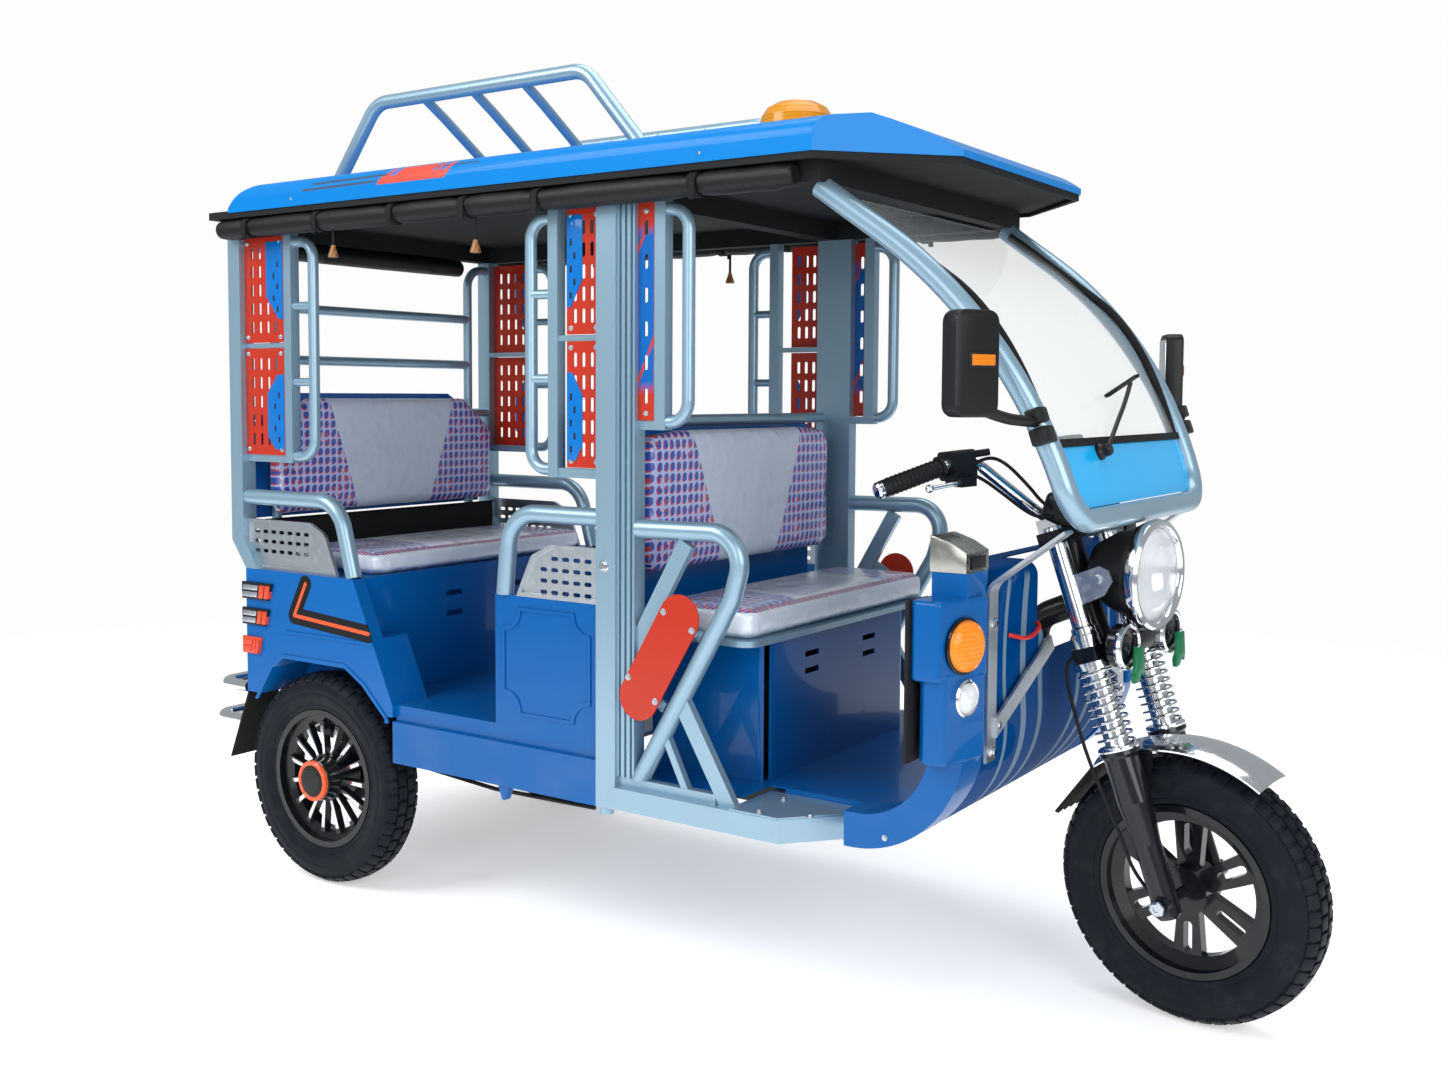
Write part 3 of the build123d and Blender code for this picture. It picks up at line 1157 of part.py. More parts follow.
def front_flap():
    """Rubber flap under the mudguard's rear end, its lower edge cut into points."""
    points = [(-62, SOFT_GAP), (62, SOFT_GAP)]
    for k in range(5):
        y = 62 - k * 24.8
        points += [(y, 148), (y - 9, 118), (y - 16, 140)]
    flap = extrude(make_face(Polyline(*points, close=True)), amount=5)
    angle = radians(GUARD_REAR)
    reach = TYRE_R + 18
    place = Plane(origin=(WHEELBASE - reach * sin(angle), 0, TYRE_R + reach * cos(angle)), x_dir=(0, 1, 0),
                  z_dir=(-sin(angle + 0.25), 0, cos(angle + 0.25)))
    return place.location * flap


def horns():
    horn = cylinder_x(37, -89, 724, 1819, 1852)
    return block(1822, 1848, -60, 60, 704, 742) + block(1780, 1823, -24, 24, 706, 724) + both(horn)


def mudguard(start, stop, half, radius, thick, crown):
    """A guard over the front wheel, crowned across; angles are from the vertical, forward positive."""
    over = ThreePointArc((radius + thick, -half), (radius + crown + thick, 0), (radius + thick, half))
    under = ThreePointArc((radius, half), (radius + crown, 0), (radius, -half))
    face = make_face([over, Line(over @ 1, under @ 0), under, Line(under @ 1, over @ 0)])
    guard = revolve(face, axis=Axis.Y, revolution_arc=start - stop)
    return Pos(WHEELBASE, 0, TYRE_R) * Rot(0, stop - 90, 0) * guard


# ================================================================ assembly
def build():
    wheels()
    part("rear_axle", rear_axle())
    part("chassis_rails", chassis_rails())
    tub = rear_tub()
    part("rear_tub", tub)
    part("floor_pan", floor_pan() + footboard())
    part("side_panels", side_panels())
    part("pillars", pillars())
    part("top_rails", top_rails())
    part("guard_loops", guard_loops())
    part("seat_frames", seat_frames())
    part("arm_rails", arm_rails())
    part("step_rails", step_rails() - arm_rails())
    part("red_panels", red_panels() + capsule_plates())
    part("guard_plates", guard_plates() - arm_rails() - pillars())
    part("roof_shell", roof_shell())
    part("roof_lining", roof_lining() - top_rails())
    part("roof_rack", roof_rack())
    part("beacon", beacon())
    part("rolled_curtains", rolled_curtains())
    frame = windshield_frame() - top_rails()
    part("windshield_frame", frame)
    part("windshield_glass", screen_sheet(GLASS_T) & screen_window(GLASS_LOW, GLASS_TOP))
    part("windshield_panel", screen_sheet(GLASS_T) & screen_window(PANEL_FOOT, PANEL_HIGH, SCREEN_CORNER - SCREEN_TUBE / 2))
    cowl = nose_cowl()
    part("nose_cowl", cowl)
    part("red_wire", red_wire() - cowl)
    part("leg_shields", leg_shields())
    part("column_caps", column_caps())
    part("lamp_pods", lamp_pods())
    part("turn_lamps", pod_lamp(TURN_Z, TURN_R, 0))
    part("fog_lamps", pod_lamp(FOG_Z, FOG_R, POD_STEP))
    part("cowl_brackets", cowl_brackets())
    part("mirrors", mirrors() - frame)
    part("rear_bumper", rear_bumper())
    part("rear_mud_flaps", rear_mud_flaps())
    part("tail_lamps", tail_lamps())
    part("brake_pedal", brake_pedal())
    part("driver_bench", driver_bench())
    part("battery_block", battery_block())
    seats()
    castings, springs = fork()
    part("fork_castings", castings)
    part("fork_springs", springs)
    bar = handlebar()
    part("handlebar", bar)
    part("bar_controls", bar_controls())
    part("brake_levers", brake_levers() - bar_controls())
    housing = instrument() - castings - bar
    part("instrument", housing)
    part("fork_cables", fork_cables() - housing - castings - bar_controls())
    brackets = drawn(lamp_brackets()) - springs
    part("lamp_brackets", brackets)
    part("headlamp", drawn(headlamp()) - springs - brackets)
    part("headlamp_lens", drawn(lamp_glass()))
    part("horns", drawn(horns()) - castings)
    part("front_mudguard", steered(mudguard(34, -38, 62, TYRE_R + 18, 3, 14)) - castings)
    part("front_flap", steered(front_flap()))


build()
os.makedirs("parts", exist_ok=True)
for old in os.listdir("parts"):
    if old.endswith(".step"):
        os.remove(os.path.join("parts", old))
for name, shape in PARTS.items():
    solids = shape.solids()
    export_step(shape if len(solids) > 1 else solids[0], f"parts/{name}.step")
    print(name, len(solids))
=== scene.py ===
import json
import bpy
import bmesh
from math import cos, pi, radians, sin
from mathutils import Matrix, Vector


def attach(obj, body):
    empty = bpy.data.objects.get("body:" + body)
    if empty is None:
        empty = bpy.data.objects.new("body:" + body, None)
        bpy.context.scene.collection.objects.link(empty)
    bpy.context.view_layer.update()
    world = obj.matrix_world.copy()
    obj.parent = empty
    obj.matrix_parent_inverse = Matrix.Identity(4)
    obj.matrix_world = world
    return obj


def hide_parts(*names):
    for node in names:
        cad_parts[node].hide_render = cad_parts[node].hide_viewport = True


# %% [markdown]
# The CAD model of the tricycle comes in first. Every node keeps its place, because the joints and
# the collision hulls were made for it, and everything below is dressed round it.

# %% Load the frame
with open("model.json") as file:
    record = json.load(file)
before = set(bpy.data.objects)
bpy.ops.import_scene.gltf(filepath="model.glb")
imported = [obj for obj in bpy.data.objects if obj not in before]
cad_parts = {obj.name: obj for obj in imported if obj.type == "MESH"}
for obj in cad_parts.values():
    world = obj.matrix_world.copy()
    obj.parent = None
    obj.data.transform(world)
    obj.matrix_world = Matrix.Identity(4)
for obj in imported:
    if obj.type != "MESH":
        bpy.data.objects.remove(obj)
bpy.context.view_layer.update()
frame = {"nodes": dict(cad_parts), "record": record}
NODES = frame["nodes"]

# %% [markdown]
# The camera stands off the front right-hand corner at chest height, a little over three metres from
# the middle, and looks slightly down. Most of the framing is done by shifting its lens rather than by
# tilting it, so the pillars stay nearly upright.

# %% Camera
AZIMUTH = radians(34.997)
PITCH = radians(3.753)
ROLL = radians(0.259)
EYE = Vector((1.811, -2.748, 1.182))
forward = Vector((-sin(AZIMUTH) * cos(PITCH), cos(AZIMUTH) * cos(PITCH), -sin(PITCH)))
level = Vector((cos(AZIMUTH), sin(AZIMUTH), 0))
above = level.cross(forward)
right = level * cos(ROLL) + above * sin(ROLL)
up = above * cos(ROLL) - level * sin(ROLL)
lens = bpy.data.cameras.new("camera")
lens.sensor_width = 36
lens.lens = 35.746
lens.shift_x = 0.0240
lens.shift_y = -0.0368
lens.clip_end = 60
camera = bpy.data.objects.new("camera", lens)
camera.matrix_world = Matrix((
    (right.x, up.x, -forward.x, EYE.x), (right.y, up.y, -forward.y, EYE.y),
    (right.z, up.z, -forward.z, EYE.z), (0, 0, 0, 1)))
bpy.context.scene.collection.objects.link(camera)
bpy.context.scene.camera = camera
print("camera at", [round(v, 3) for v in EYE])

# %% [markdown]
# A studio for glossy paint needs large soft lights, because the paint mirrors them: a key from the
# camera's left, a fill from the vehicle's front, a lower one from behind the camera for the near side,
# and one from above that draws the roof's edges. The world is nearly white, so the shadow under the
# vehicle stays soft and pale.

# %% Studio
def area_light(name, place, target, size, power):
    """A square soft light at a place, turned to a target."""
    light = bpy.data.lights.new(name, "AREA")
    light.size = size
    light.energy = power
    holder = bpy.data.objects.new(name, light)
    holder.location = place
    holder.rotation_euler = (Vector(target) - Vector(place)).to_track_quat("-Z", "Y").to_euler()
    bpy.context.scene.collection.objects.link(holder)


area_light("key", (-2.6, -4.2, 4.4), (0, 0, 0.7), 3.0, 195)
area_light("fill", (4.6, -2.6, 2.4), (0.4, 0, 0.8), 3.0, 125)
area_light("side", (0.9, -4.8, 2.0), (0, 0, 0.8), 2.4, 45)
area_light("top", (0.2, 0.6, 5.0), (0, 0, 1.0), 3.6, 120)
world = bpy.data.worlds.new("studio")
bpy.context.scene.world = world
world.use_nodes = True
sky = world.node_tree
room = sky.nodes["Background"]
room.inputs["Color"].default_value = (0.90, 0.95, 1.0, 1)
room.inputs["Strength"].default_value = 0.42
backdrop = sky.nodes.new("ShaderNodeBackground")
backdrop.inputs["Color"].default_value = (0.985, 0.985, 0.985, 1)
seen = sky.nodes.new("ShaderNodeLightPath")
either = sky.nodes.new("ShaderNodeMixShader")
sky.links.new(seen.outputs["Is Camera Ray"], either.inputs[0])
sky.links.new(room.outputs[0], either.inputs[1])
sky.links.new(backdrop.outputs[0], either.inputs[2])
sky.links.new(either.outputs[0], sky.nodes["World Output"].inputs["Surface"])
bpy.context.scene.view_settings.view_transform = "Standard"

# %% [markdown]
# Sums between sockets are written as plain Python. A small class wraps a socket, and its operators
# add the Math nodes, so a pattern reads like a formula. Anything else, such as a noise or a ramp, is
# one call that names the node, its settings and its inputs.

# %% Shader sums
class Term:
    """A node's output; arithmetic on it adds Math nodes to the same tree."""

    def __init__(self, tree, socket):
        self.tree = tree
        self.socket = socket

    def sum(self, operation, *others):
        node = self.tree.nodes.new("ShaderNodeMath")
        node.operation = operation
        for slot, value in zip(node.inputs, others):
            if isinstance(value, Term):
                self.tree.links.new(value.socket, slot)
            else:
                slot.default_value = value
        return Term(self.tree, node.outputs[0])

    def __add__(self, other):
        return self.sum("ADD", self, other)

    def __sub__(self, other):
        return self.sum("SUBTRACT", self, other)

    def __mul__(self, other):
        return self.sum("MULTIPLY", self, other)

    def __truediv__(self, other):
        return self.sum("DIVIDE", self, other)

    def __rsub__(self, other):
        return self.sum("SUBTRACT", other, self)

    def __abs__(self):
        return self.sum("ABSOLUTE", self)

    __radd__ = __add__

    def lower(self, other):
        return self.sum("MINIMUM", self, other)

    def higher(self, other):
        return self.sum("MAXIMUM", self, other)

    def wrap(self, length):
        """The distance from the nearest repeat of a length, 0 to length/2."""
        return self.sum("PINGPONG", self, length / 2)

    def centred(self, length):
        """The same with its sign kept, which tells one half of a repeat from the other."""
        return self.sum("WRAP", self, length / 2, -length / 2)

    def steps(self, length):
        return self.sum("FLOOR", self / length)

    def root(self):
        return self.sum("SQRT", self)


FINISH = {}


class Finish:
    """A procedural material, filed under its name. Numbers that never change sit on the shader's own sockets."""

    def __init__(self, name, colour=(0.5, 0.5, 0.5), roughness=0.5, **fixed):
        FINISH[name] = self
        self.material = bpy.data.materials.new(name)
        self.material.use_nodes = True
        self.tree = self.material.node_tree
        self.shader = self.tree.nodes["Principled BSDF"]
        self.base = (*colour, 1)
        self.shader.inputs["Base Color"].default_value = self.base
        self.shader.inputs["Roughness"].default_value = roughness
        for socket, value in fixed.items():
            self.shader.inputs[socket.replace("_", " ")].default_value = value
        place = self.tree.nodes.new("ShaderNodeTexCoord").outputs["Object"]
        self.place = Term(self.tree, place)
        apart = self.tree.nodes.new("ShaderNodeSeparateXYZ")
        self.tree.links.new(place, apart.inputs[0])
        self.x, self.y, self.z = (Term(self.tree, s) for s in apart.outputs)

    def node(self, kind, settings=None, output=0, **inputs):
        """Any node: its settings first, then values or terms for its sockets."""
        made = self.tree.nodes.new("ShaderNode" + kind)
        for key, value in (settings or {}).items():
            setattr(made, key, value)
        for key, value in inputs.items():
            slot = made.inputs[int(key[1:])] if key[1:].isdigit() else made.inputs[key.replace("_", " ")]
            if isinstance(value, Term):
                self.tree.links.new(value.socket, slot)
            else:
                slot.default_value = value
        return Term(self.tree, made.outputs[output])

    def noise(self, scale, detail):
        return self.node("TexNoise", Vector=self.place, Scale=scale, Detail=detail)

    def range(self, term, low, high, out_low=0.0, out_high=1.0):
        """A smooth step of a term from low to high, held at both ends."""
        return self.node("MapRange", {"interpolation_type": "SMOOTHSTEP"}, _0=term, _1=low, _2=high,
                         _3=out_low, _4=out_high)

    def mix(self, mask, first, second):
        """The first colour where the mask is 0 and the second where it is 1."""
        def colour(value):
            return value if isinstance(value, Term) or len(value) == 4 else (*value, 1)
        return self.node("Mix", {"data_type": "RGBA"}, output=2, _0=mask, _6=colour(first), _7=colour(second))

    def set(self, socket, term):
        self.tree.links.new(term.socket, self.shader.inputs[socket])
        return self

    def bump(self, height, strength=0.3, distance=0.001):
        made = self.node("Bump", Height=height, Strength=strength, Distance=distance)
        return self.set("Normal", made)


def paint(name, colour, roughness=0.22, metallic=0.0, coat=1.0, grime=0.08):
    """Sprayed paint: faint ripple in the lacquer, slightly duller patches, road dust low down."""
    made = Finish(name, colour, roughness, Metallic=metallic, Coat_Roughness=0.05, Specular_IOR_Level=0.12)
    cloud = made.noise(2.2, 4)
    dust = made.range(made.z, 0.62, 0.20) * made.range(made.noise(9, 6), 0.42, 0.72) * grime
    tone = made.mix(cloud * 0.35, made.base, tuple(0.72 * c for c in colour))
    made.set("Base Color", made.mix(dust, tone, (0.35, 0.33, 0.30)))
    made.set("Roughness", roughness + cloud * 0.08 + dust * 0.5)
    made.set("Coat Weight", made.range(dust, 0, 0.5, coat, coat * 0.3))
    return made.bump(made.noise(240, 2), 0.04, 0.0006)


print("shader helpers ready")

# %% [markdown]
# Each CAD node takes one finish. The body is a deep glossy blue, the roof and the lower screen pane
# a bright sky blue, and the tube frame a pale blue-grey with a little metal in it.

# %% Paints
#        colour, roughness, metallic, coat, grime
PAINTS = {
    "body_blue": ((0.0, 0.100, 0.35), 0.26, 0, 0.30),
    "sky_blue": ((0.0, 0.29, 0.80), 0.22, 0, 1.0, 0.02),
    "frame_silver": ((0.29, 0.44, 0.55), 0.30, 0.55, 0.5, 0.05),
    "panel_red": ((0.48, 0.030, 0.012), 0.34, 0, 0.4, 0.05),
    "chassis_black": ((0.010, 0.010, 0.012), 0.45, 0, 0.2),
    "fork_black": ((0.005, 0.006, 0.009), 0.26, 0, 0.6, 0.02),
    "black_wheel": ((0.005, 0.006, 0.008), 0.24, 0, 0.6, 0.03),
    "alloy_wheel": ((0.005, 0.006, 0.008), 0.24, 0, 0.6, 0.03),
    "axle_iron": ((0.02, 0.02, 0.022), 0.6, 0, 0.1),
    "floor_black": ((0.03, 0.03, 0.032), 0.5, 0, 0.1),
}
for name, values in PAINTS.items():
    paint(name, *values)
plastic = Finish("black_plastic", (0.007, 0.007, 0.008), 0.42, Specular_IOR_Level=0.3)
plastic.bump(plastic.noise(700, 2), 0.15, 0.0005)
Finish("lead_plate", (0.05, 0.05, 0.06), 0.6)
print("paints", len(PAINTS))

# %% [markdown]
# Plated parts are true metals, so almost all their look is what they mirror, and a few dull spots
# break it up. Rubber is the opposite: black, dull and a little dusty. Lamp lenses are clear plastic
# with ribs pressed in behind, and the screen is a thin sheet that lets most of the light through.

# %% Metal, rubber and lenses
def metal(name, colour, roughness, scale=60):
    """Bare or plated metal with faint streaks and a few dull spots."""
    made = Finish(name, colour, roughness, Metallic=1.0)
    spots = made.range(made.noise(scale, 4), 0.45, 0.75)
    made.set("Roughness", roughness + spots * 0.12)
    made.set("Base Color", made.mix(spots * 0.3, made.base, tuple(0.8 * c for c in colour)))
    return made.bump(made.noise(scale * 6, 3), 0.05, 0.0004)


metal("chrome", (0.80, 0.81, 0.83), 0.10)
metal("silver_plate", (0.56, 0.60, 0.64), 0.34)
metal("steel", (0.45, 0.46, 0.48), 0.3, 200)


def rubber(name, colour, roughness=0.72):
    made = Finish(name, colour, roughness, Specular_IOR_Level=0.12)
    dust = made.range(made.noise(30, 5), 0.45, 0.8) * 0.12
    made.set("Base Color", made.mix(dust, made.base, (0.07, 0.07, 0.07)))
    return made.bump(made.noise(500, 3), 0.25, 0.0006)


rubber("rubber", (0.014, 0.014, 0.015))
rubber("tyre", (0.006, 0.008, 0.012), 0.5)


def lens_finish(name, colour, glow=0.0):
    """Moulded lamp lens: clear plastic with ribs pressed in behind it."""
    made = Finish(name, colour, 0.2, Coat_Weight=0.4, Coat_Roughness=0.03, Specular_IOR_Level=0.2,
                  Emission_Color=(*colour, 1), Emission_Strength=glow)
    ribs = made.z.wrap(0.008) / 0.004
    made.set("Base Color", made.mix(ribs * 0.4, made.base, tuple(0.55 * c for c in colour)))
    return made.bump(ribs, 0.4, 0.0012)


lens_finish("amber", (0.76, 0.21, 0.006), 0.04)
lens_finish("red_lens", (0.60, 0.035, 0.02))
glass = Finish("glass", (0.86, 0.92, 0.93), 0.03, Alpha=0.22, Coat_Weight=0.4)
glass.set("Alpha", 0.16 + glass.noise(1.5, 2) * 0.1)
cloth = Finish("curtain", (0.006, 0.006, 0.007), 0.5, Specular_IOR_Level=0.3)
cloth.bump(cloth.noise(90, 4), 0.5, 0.002)
Finish("seat_cover", (0.60, 0.60, 0.70), 0.3)
print("finishes", len(FINISH))

# %% [markdown]
# The frame's record names a finish for each node. Every node takes it now; a few are repainted later,
# where their stickers and prints are laid.

# %% Painting the nodes
SLOT_OF = {s["node"]: s["material_slot"] for s in frame["record"]["subparts"]}
for name, node in NODES.items():
    node.data.materials.clear()
    node.data.materials.append(FINISH[SLOT_OF[name]].material)
print("painted", len(SLOT_OF), "nodes")

# %% [markdown]
# The pieces below are modelled as by hand: a primitive, then edit mode, then modifiers. An operator
# acts on all that is selected, so every step starts with nothing selected, and faces or edges are
# then chosen by their place. The first helpers hold only those steps.

# %% Selecting
MM = 0.001
REAR_AXLE = 0.874  # the rear axle stands this far behind the origin
HUB_OUT, HUB_UP = 0.417, 0.255  # and its wheels' middles this far out and up


def clear():
    """Leaves edit mode with nothing selected, since an operator acts on all that is."""
    if bpy.context.object and bpy.context.object.mode == "EDIT":
        bpy.ops.object.mode_set(mode="OBJECT")
    bpy.ops.object.select_all(action="DESELECT")


def only(piece):
    clear()
    bpy.context.view_layer.objects.active = piece
    piece.select_set(True)
    return piece


def start(kind, name, **how):
    """A primitive in millimetres, as the one active object."""
    clear()
    getattr(bpy.ops.mesh, "primitive_" + kind + "_add")(**how)
    bpy.context.object.name = name
    return bpy.context.object


def pick(piece, test, kind="FACE"):
    """Edit mode, with the faces, edges or vertices selected whose middle passes a test."""
    only(piece)
    bpy.ops.object.mode_set(mode="EDIT")
    bpy.ops.mesh.select_mode(type=kind)
    bpy.ops.mesh.select_all(action="DESELECT")
    mesh = bmesh.from_edit_mesh(piece.data)
    for item in {"FACE": mesh.faces, "EDGE": mesh.edges, "VERT": mesh.verts}[kind]:
        spots = [item.co] if kind == "VERT" else [v.co for v in item.verts]
        item.select_set(bool(test(sum(spots, Vector()) / len(spots), item)))
    bmesh.update_edit_mesh(piece.data)


print("selecting is ready")

# %% [markdown]
# A piece is drawn in millimetres about its own origin, because its sizes are easier to read there.
# A matrix then carries it to its place, and that is applied to the mesh at once, so the object itself
# stays at the origin as a CAD node does. Its faces are turned outward at the same time.

# %% Placing
def at(x, y, z, aim=(0, 0, 1), side=None):
    """A place in metres from the vehicle's origin: local z runs along aim, and local x along side."""
    z_axis = Vector(aim).normalized()
    x_axis = Vector(side) if side else (Vector((1, 0, 0)) if abs(z_axis.x) < 0.9 else Vector((0, 1, 0)))
    x_axis = (x_axis - z_axis * x_axis.dot(z_axis)).normalized()
    turn = Matrix((x_axis, z_axis.cross(x_axis), z_axis)).transposed().to_4x4()
    return Matrix.Translation((x, y, z)) @ turn @ Matrix.Scale(MM, 4)


def settle(piece, place=None, finish=None, smooth=32):
    """Puts a piece in its place, applies that to the mesh, and shades it smooth but for sharp edges."""
    only(piece)
    if place is not None:
        piece.data.transform(place)
    bpy.ops.object.mode_set(mode="EDIT")
    bpy.ops.mesh.select_all(action="SELECT")
    bpy.ops.mesh.normals_make_consistent(inside=False)
    bpy.ops.object.mode_set(mode="OBJECT")
    bpy.ops.object.shade_smooth_by_angle(angle=radians(smooth))
    if finish:
        piece.data.materials.clear()
        piece.data.materials.append(FINISH[finish].material)
    return piece


print("placing is ready")

# %% [markdown]
# Most parts of such a vehicle are one of four shapes: turned, cut from sheet, a block with eased
# edges, or a bent bar. Each has a helper that draws an outline by extruding one vertex and then spins,
# fills or bevels it. The bent bar is a curve turned into a mesh, since a tube of constant section
# follows a bend best that way.

# %% Turned, flat, blocky and bent shapes
def thread(name, points, closed):
    """One vertex drawn along a line of points, left selected in edit mode."""
    piece = start("plane", name, size=1)
    bpy.ops.object.mode_set(mode="EDIT")
    bpy.ops.mesh.select_mode(type="VERT")
    bpy.ops.mesh.select_all(action="SELECT")
    bpy.ops.mesh.merge(type="CENTER")
    bpy.ops.transform.translate(value=points[0])
    for here, there in zip(points, points[1:] + points[:1] * closed):
        bpy.ops.mesh.extrude_vertices_move(TRANSFORM_OT_translate={"value": Vector(there) - Vector(here)})
    bpy.ops.mesh.select_all(action="SELECT")
    bpy.ops.mesh.remove_doubles(threshold=0.002)
    bpy.ops.mesh.select_all(action="SELECT")
    return piece


def lathe(name, outline, place, finish, steps=48, closed=False):
    """Points are (radius, height) in millimetres, spun about local z."""
    piece = thread(name, [(r, 0, z) for r, z in outline], closed)
    bpy.ops.mesh.spin(steps=steps, angle=2 * pi, center=(0, 0, 0), axis=(0, 0, 1))
    bpy.ops.mesh.select_all(action="SELECT")
    bpy.ops.mesh.remove_doubles(threshold=0.002)
    return settle(piece, place, finish)


def slab(name, outline, thick, place, finish, edge=0.0):
    """A flat piece: an outline of (x, y) points drawn, filled, and extruded along z."""
    piece = thread(name, [(x, y, 0) for x, y in outline], True)
    bpy.ops.mesh.edge_face_add()
    bpy.ops.mesh.extrude_region_move(TRANSFORM_OT_translate={"value": (0, 0, thick)})
    if edge:
        pick(piece, lambda c, e: abs(c.z - thick) < 0.01 and e.is_manifold
             and abs(e.calc_face_angle(0)) > 0.5, "EDGE")
        bpy.ops.mesh.bevel(offset=edge, segments=2)
    return settle(piece, place, finish)


def brick(name, size, place, finish, edge, shape=None):
    """A box in millimetres with its edges eased; shape may work on it first."""
    piece = start("cube", name, size=1)
    bpy.ops.transform.resize(value=size)
    bpy.ops.object.transform_apply(location=False, rotation=False, scale=True)
    if shape:
        shape(piece)
    pick(piece, lambda c, e: True, "EDGE")
    bpy.ops.mesh.bevel(offset=edge, segments=2)
    return settle(piece, place, finish)


def curved(name, points, diameter, around, along):
    """A round smooth curve along points in metres; around and along set how fine it is."""
    line = bpy.data.curves.new(name, "CURVE")
    line.dimensions = "3D"
    line.bevel_depth = diameter / 2
    line.bevel_resolution = around
    line.resolution_u = along
    line.use_fill_caps = True
    spline = line.splines.new("NURBS")
    spline.points.add(len(points) - 1)
    for spot, point in zip(spline.points, points):
        spot.co = (*point, 1)
    spline.order_u = 3
    spline.use_endpoint_u = True
    piece = bpy.data.objects.new(name, line)
    bpy.context.scene.collection.objects.link(piece)
    return piece


def pipe(name, points, diameter, finish, along=8):
    """A bent round bar: the curve above, turned into a mesh."""
    only(curved(name, points, diameter, 3, along))
    bpy.ops.object.convert(target="MESH")
    return settle(bpy.context.object, None, finish)


print("shapes are ready")

# %% [markdown]
# What repeats is modelled once and copied, each copy with a mesh of its own. A mirrored copy has its
# faces turned again, because a mirror turns them inward. Each piece is told which body it rides on, so
# that it moves with its joint, and the steered ones are placed in the fork's own frame.

# %% Copies, pairs and the fork's own frame
def twin(piece, place):
    """A copy with a mesh of its own, moved by a matrix."""
    again = piece.copy()
    again.data = piece.data.copy()
    again.data.transform(place)
    bpy.context.scene.collection.objects.link(again)
    return again


def copied(piece, places, name=None):
    """One piece modelled in millimetres, copied to each place and joined."""
    made = [twin(piece, place) for place in places]
    bpy.data.objects.remove(piece)
    return join(made, name)


def join(made, name=None):
    only(made[0])
    for one in made[1:]:
        one.select_set(True)
    if len(made) > 1:
        bpy.ops.object.join()
    if name:
        made[0].name = name
    return made[0]


def pair(piece):
    """The piece and its mirror image on the other side, as one piece that rides on the chassis."""
    again = twin(piece, Matrix.Scale(-1, 4, (0, 1, 0)))
    again.data.flip_normals()
    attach(join([piece, again]), "chassis")


# The steered pieces stand nine degrees to the right of straight ahead.
FOOT = Vector((1.02585, 0, 0.24378))
STEM = Vector((-0.32061, 0, 0.94721))
AHEAD = Vector((0.94721, 0, 0.32061))
PARKED = Matrix.Translation(FOOT) @ Matrix.Rotation(-radians(9), 4, STEM) @ Matrix.Translation(-FOOT)


def forked(x, y, z):
    """A place in the fork's own frame, millimetres, z up the steering axis."""
    spot = FOOT + AHEAD * x * MM + Vector((0, y * MM, 0)) + STEM * z * MM
    return PARKED @ at(*spot, STEM, AHEAD)


def steered(forward, y, z):
    """A lamp's or horn's place, given for straight-ahead steering: local z aims forward, local x across."""
    return PARKED @ at(forward - REAR_AXLE, y, z, (1, 0, 0), (0, 1, 0))


print("copies are ready")

# %% [markdown]
# A tyre is a lathed carcass with the tread moulded on it. One half of its outline runs from the bead
# over a bulging side wall with thin rings to the crown, and the other half mirrors it. The tread is one
# block, eased at its edges, that is copied round in four rows; the shoulder rows lean with the crown.
# The grooves between the blocks are real gaps, so they stay dark at any angle.

# %% Tyres
def tyre(name, node, place, pitch):
    """A tyre in place of its node; pitch is the number of blocks in each row."""
    side = [(158, -33.7), (166.3, -33.7), (169, -38), (178, -42), (180, -41.2), (183, -43.4), (198, -47.4),
            (208, -48.6), (210, -47.8), (213, -48.8), (222, -48.2), (232, -46.4), (235, -44.6), (240, -42),
            (245, -36), (248.5, -24), (250, -9)]
    outline = side + [(r, -z) for r, z in reversed(side)]
    carcass = lathe(name, outline, place, "tyre", 96, True)
    # across, radius, lean, width and height of the blocks
    rows = ((36.5, 243.6, 34, 23, 6.2), (13.2, 250.6, 7, 20.5, 7.4),
            (-13.2, 250.6, -7, 20.5, 7.4), (-36.5, 243.6, -34, 23, 6.2))
    lugs = []
    for n, (z, radius, lean, wide, tall) in enumerate(rows):
        long = 2 * pi * radius / pitch * 0.80
        lug = brick("lug", (tall, long, wide), None, "tyre", 1.3)
        seat = Matrix.Translation((radius, 0, z)) @ Matrix.Rotation(-radians(lean), 4, "Y")
        half_step = (n % 2) * 0.5
        lugs.append(copied(lug, [place @ Matrix.Rotation(2 * pi * (k + half_step) / pitch, 4, "Z") @ seat
                                 for k in range(pitch)]))
    whole = join([carcass, *lugs], name)
    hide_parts(node)
    return whole


SPIN = Vector((0.14817, 0.98769, 0.05015))
HUB = Vector((1.05858, -0.00548, 0.25486))
front = tyre("front_tyre_tread", "front_tyre", at(*HUB, SPIN), 52)
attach(front, "front_wheel")
for side, y in (("right", -HUB_OUT), ("left", HUB_OUT)):
    rear = tyre("rear_tyre_tread_" + side, "rear_tyre_" + side, at(-REAR_AXLE, y, HUB_UP, (0, 1, 0)), 46)
    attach(rear, "rear_wheel_" + side)
print("tyres", len(front.data.polygons), "and", len(rear.data.polygons), "faces")

# %% [markdown]
# The rear wheels' narrow spokes are machined bright on their outer faces, and an orange-red ring
# sits round the black hub cap. Each bright face is a thin slab with an eased edge, copied fifteen
# times. The cap is lathed with a stepped rim.

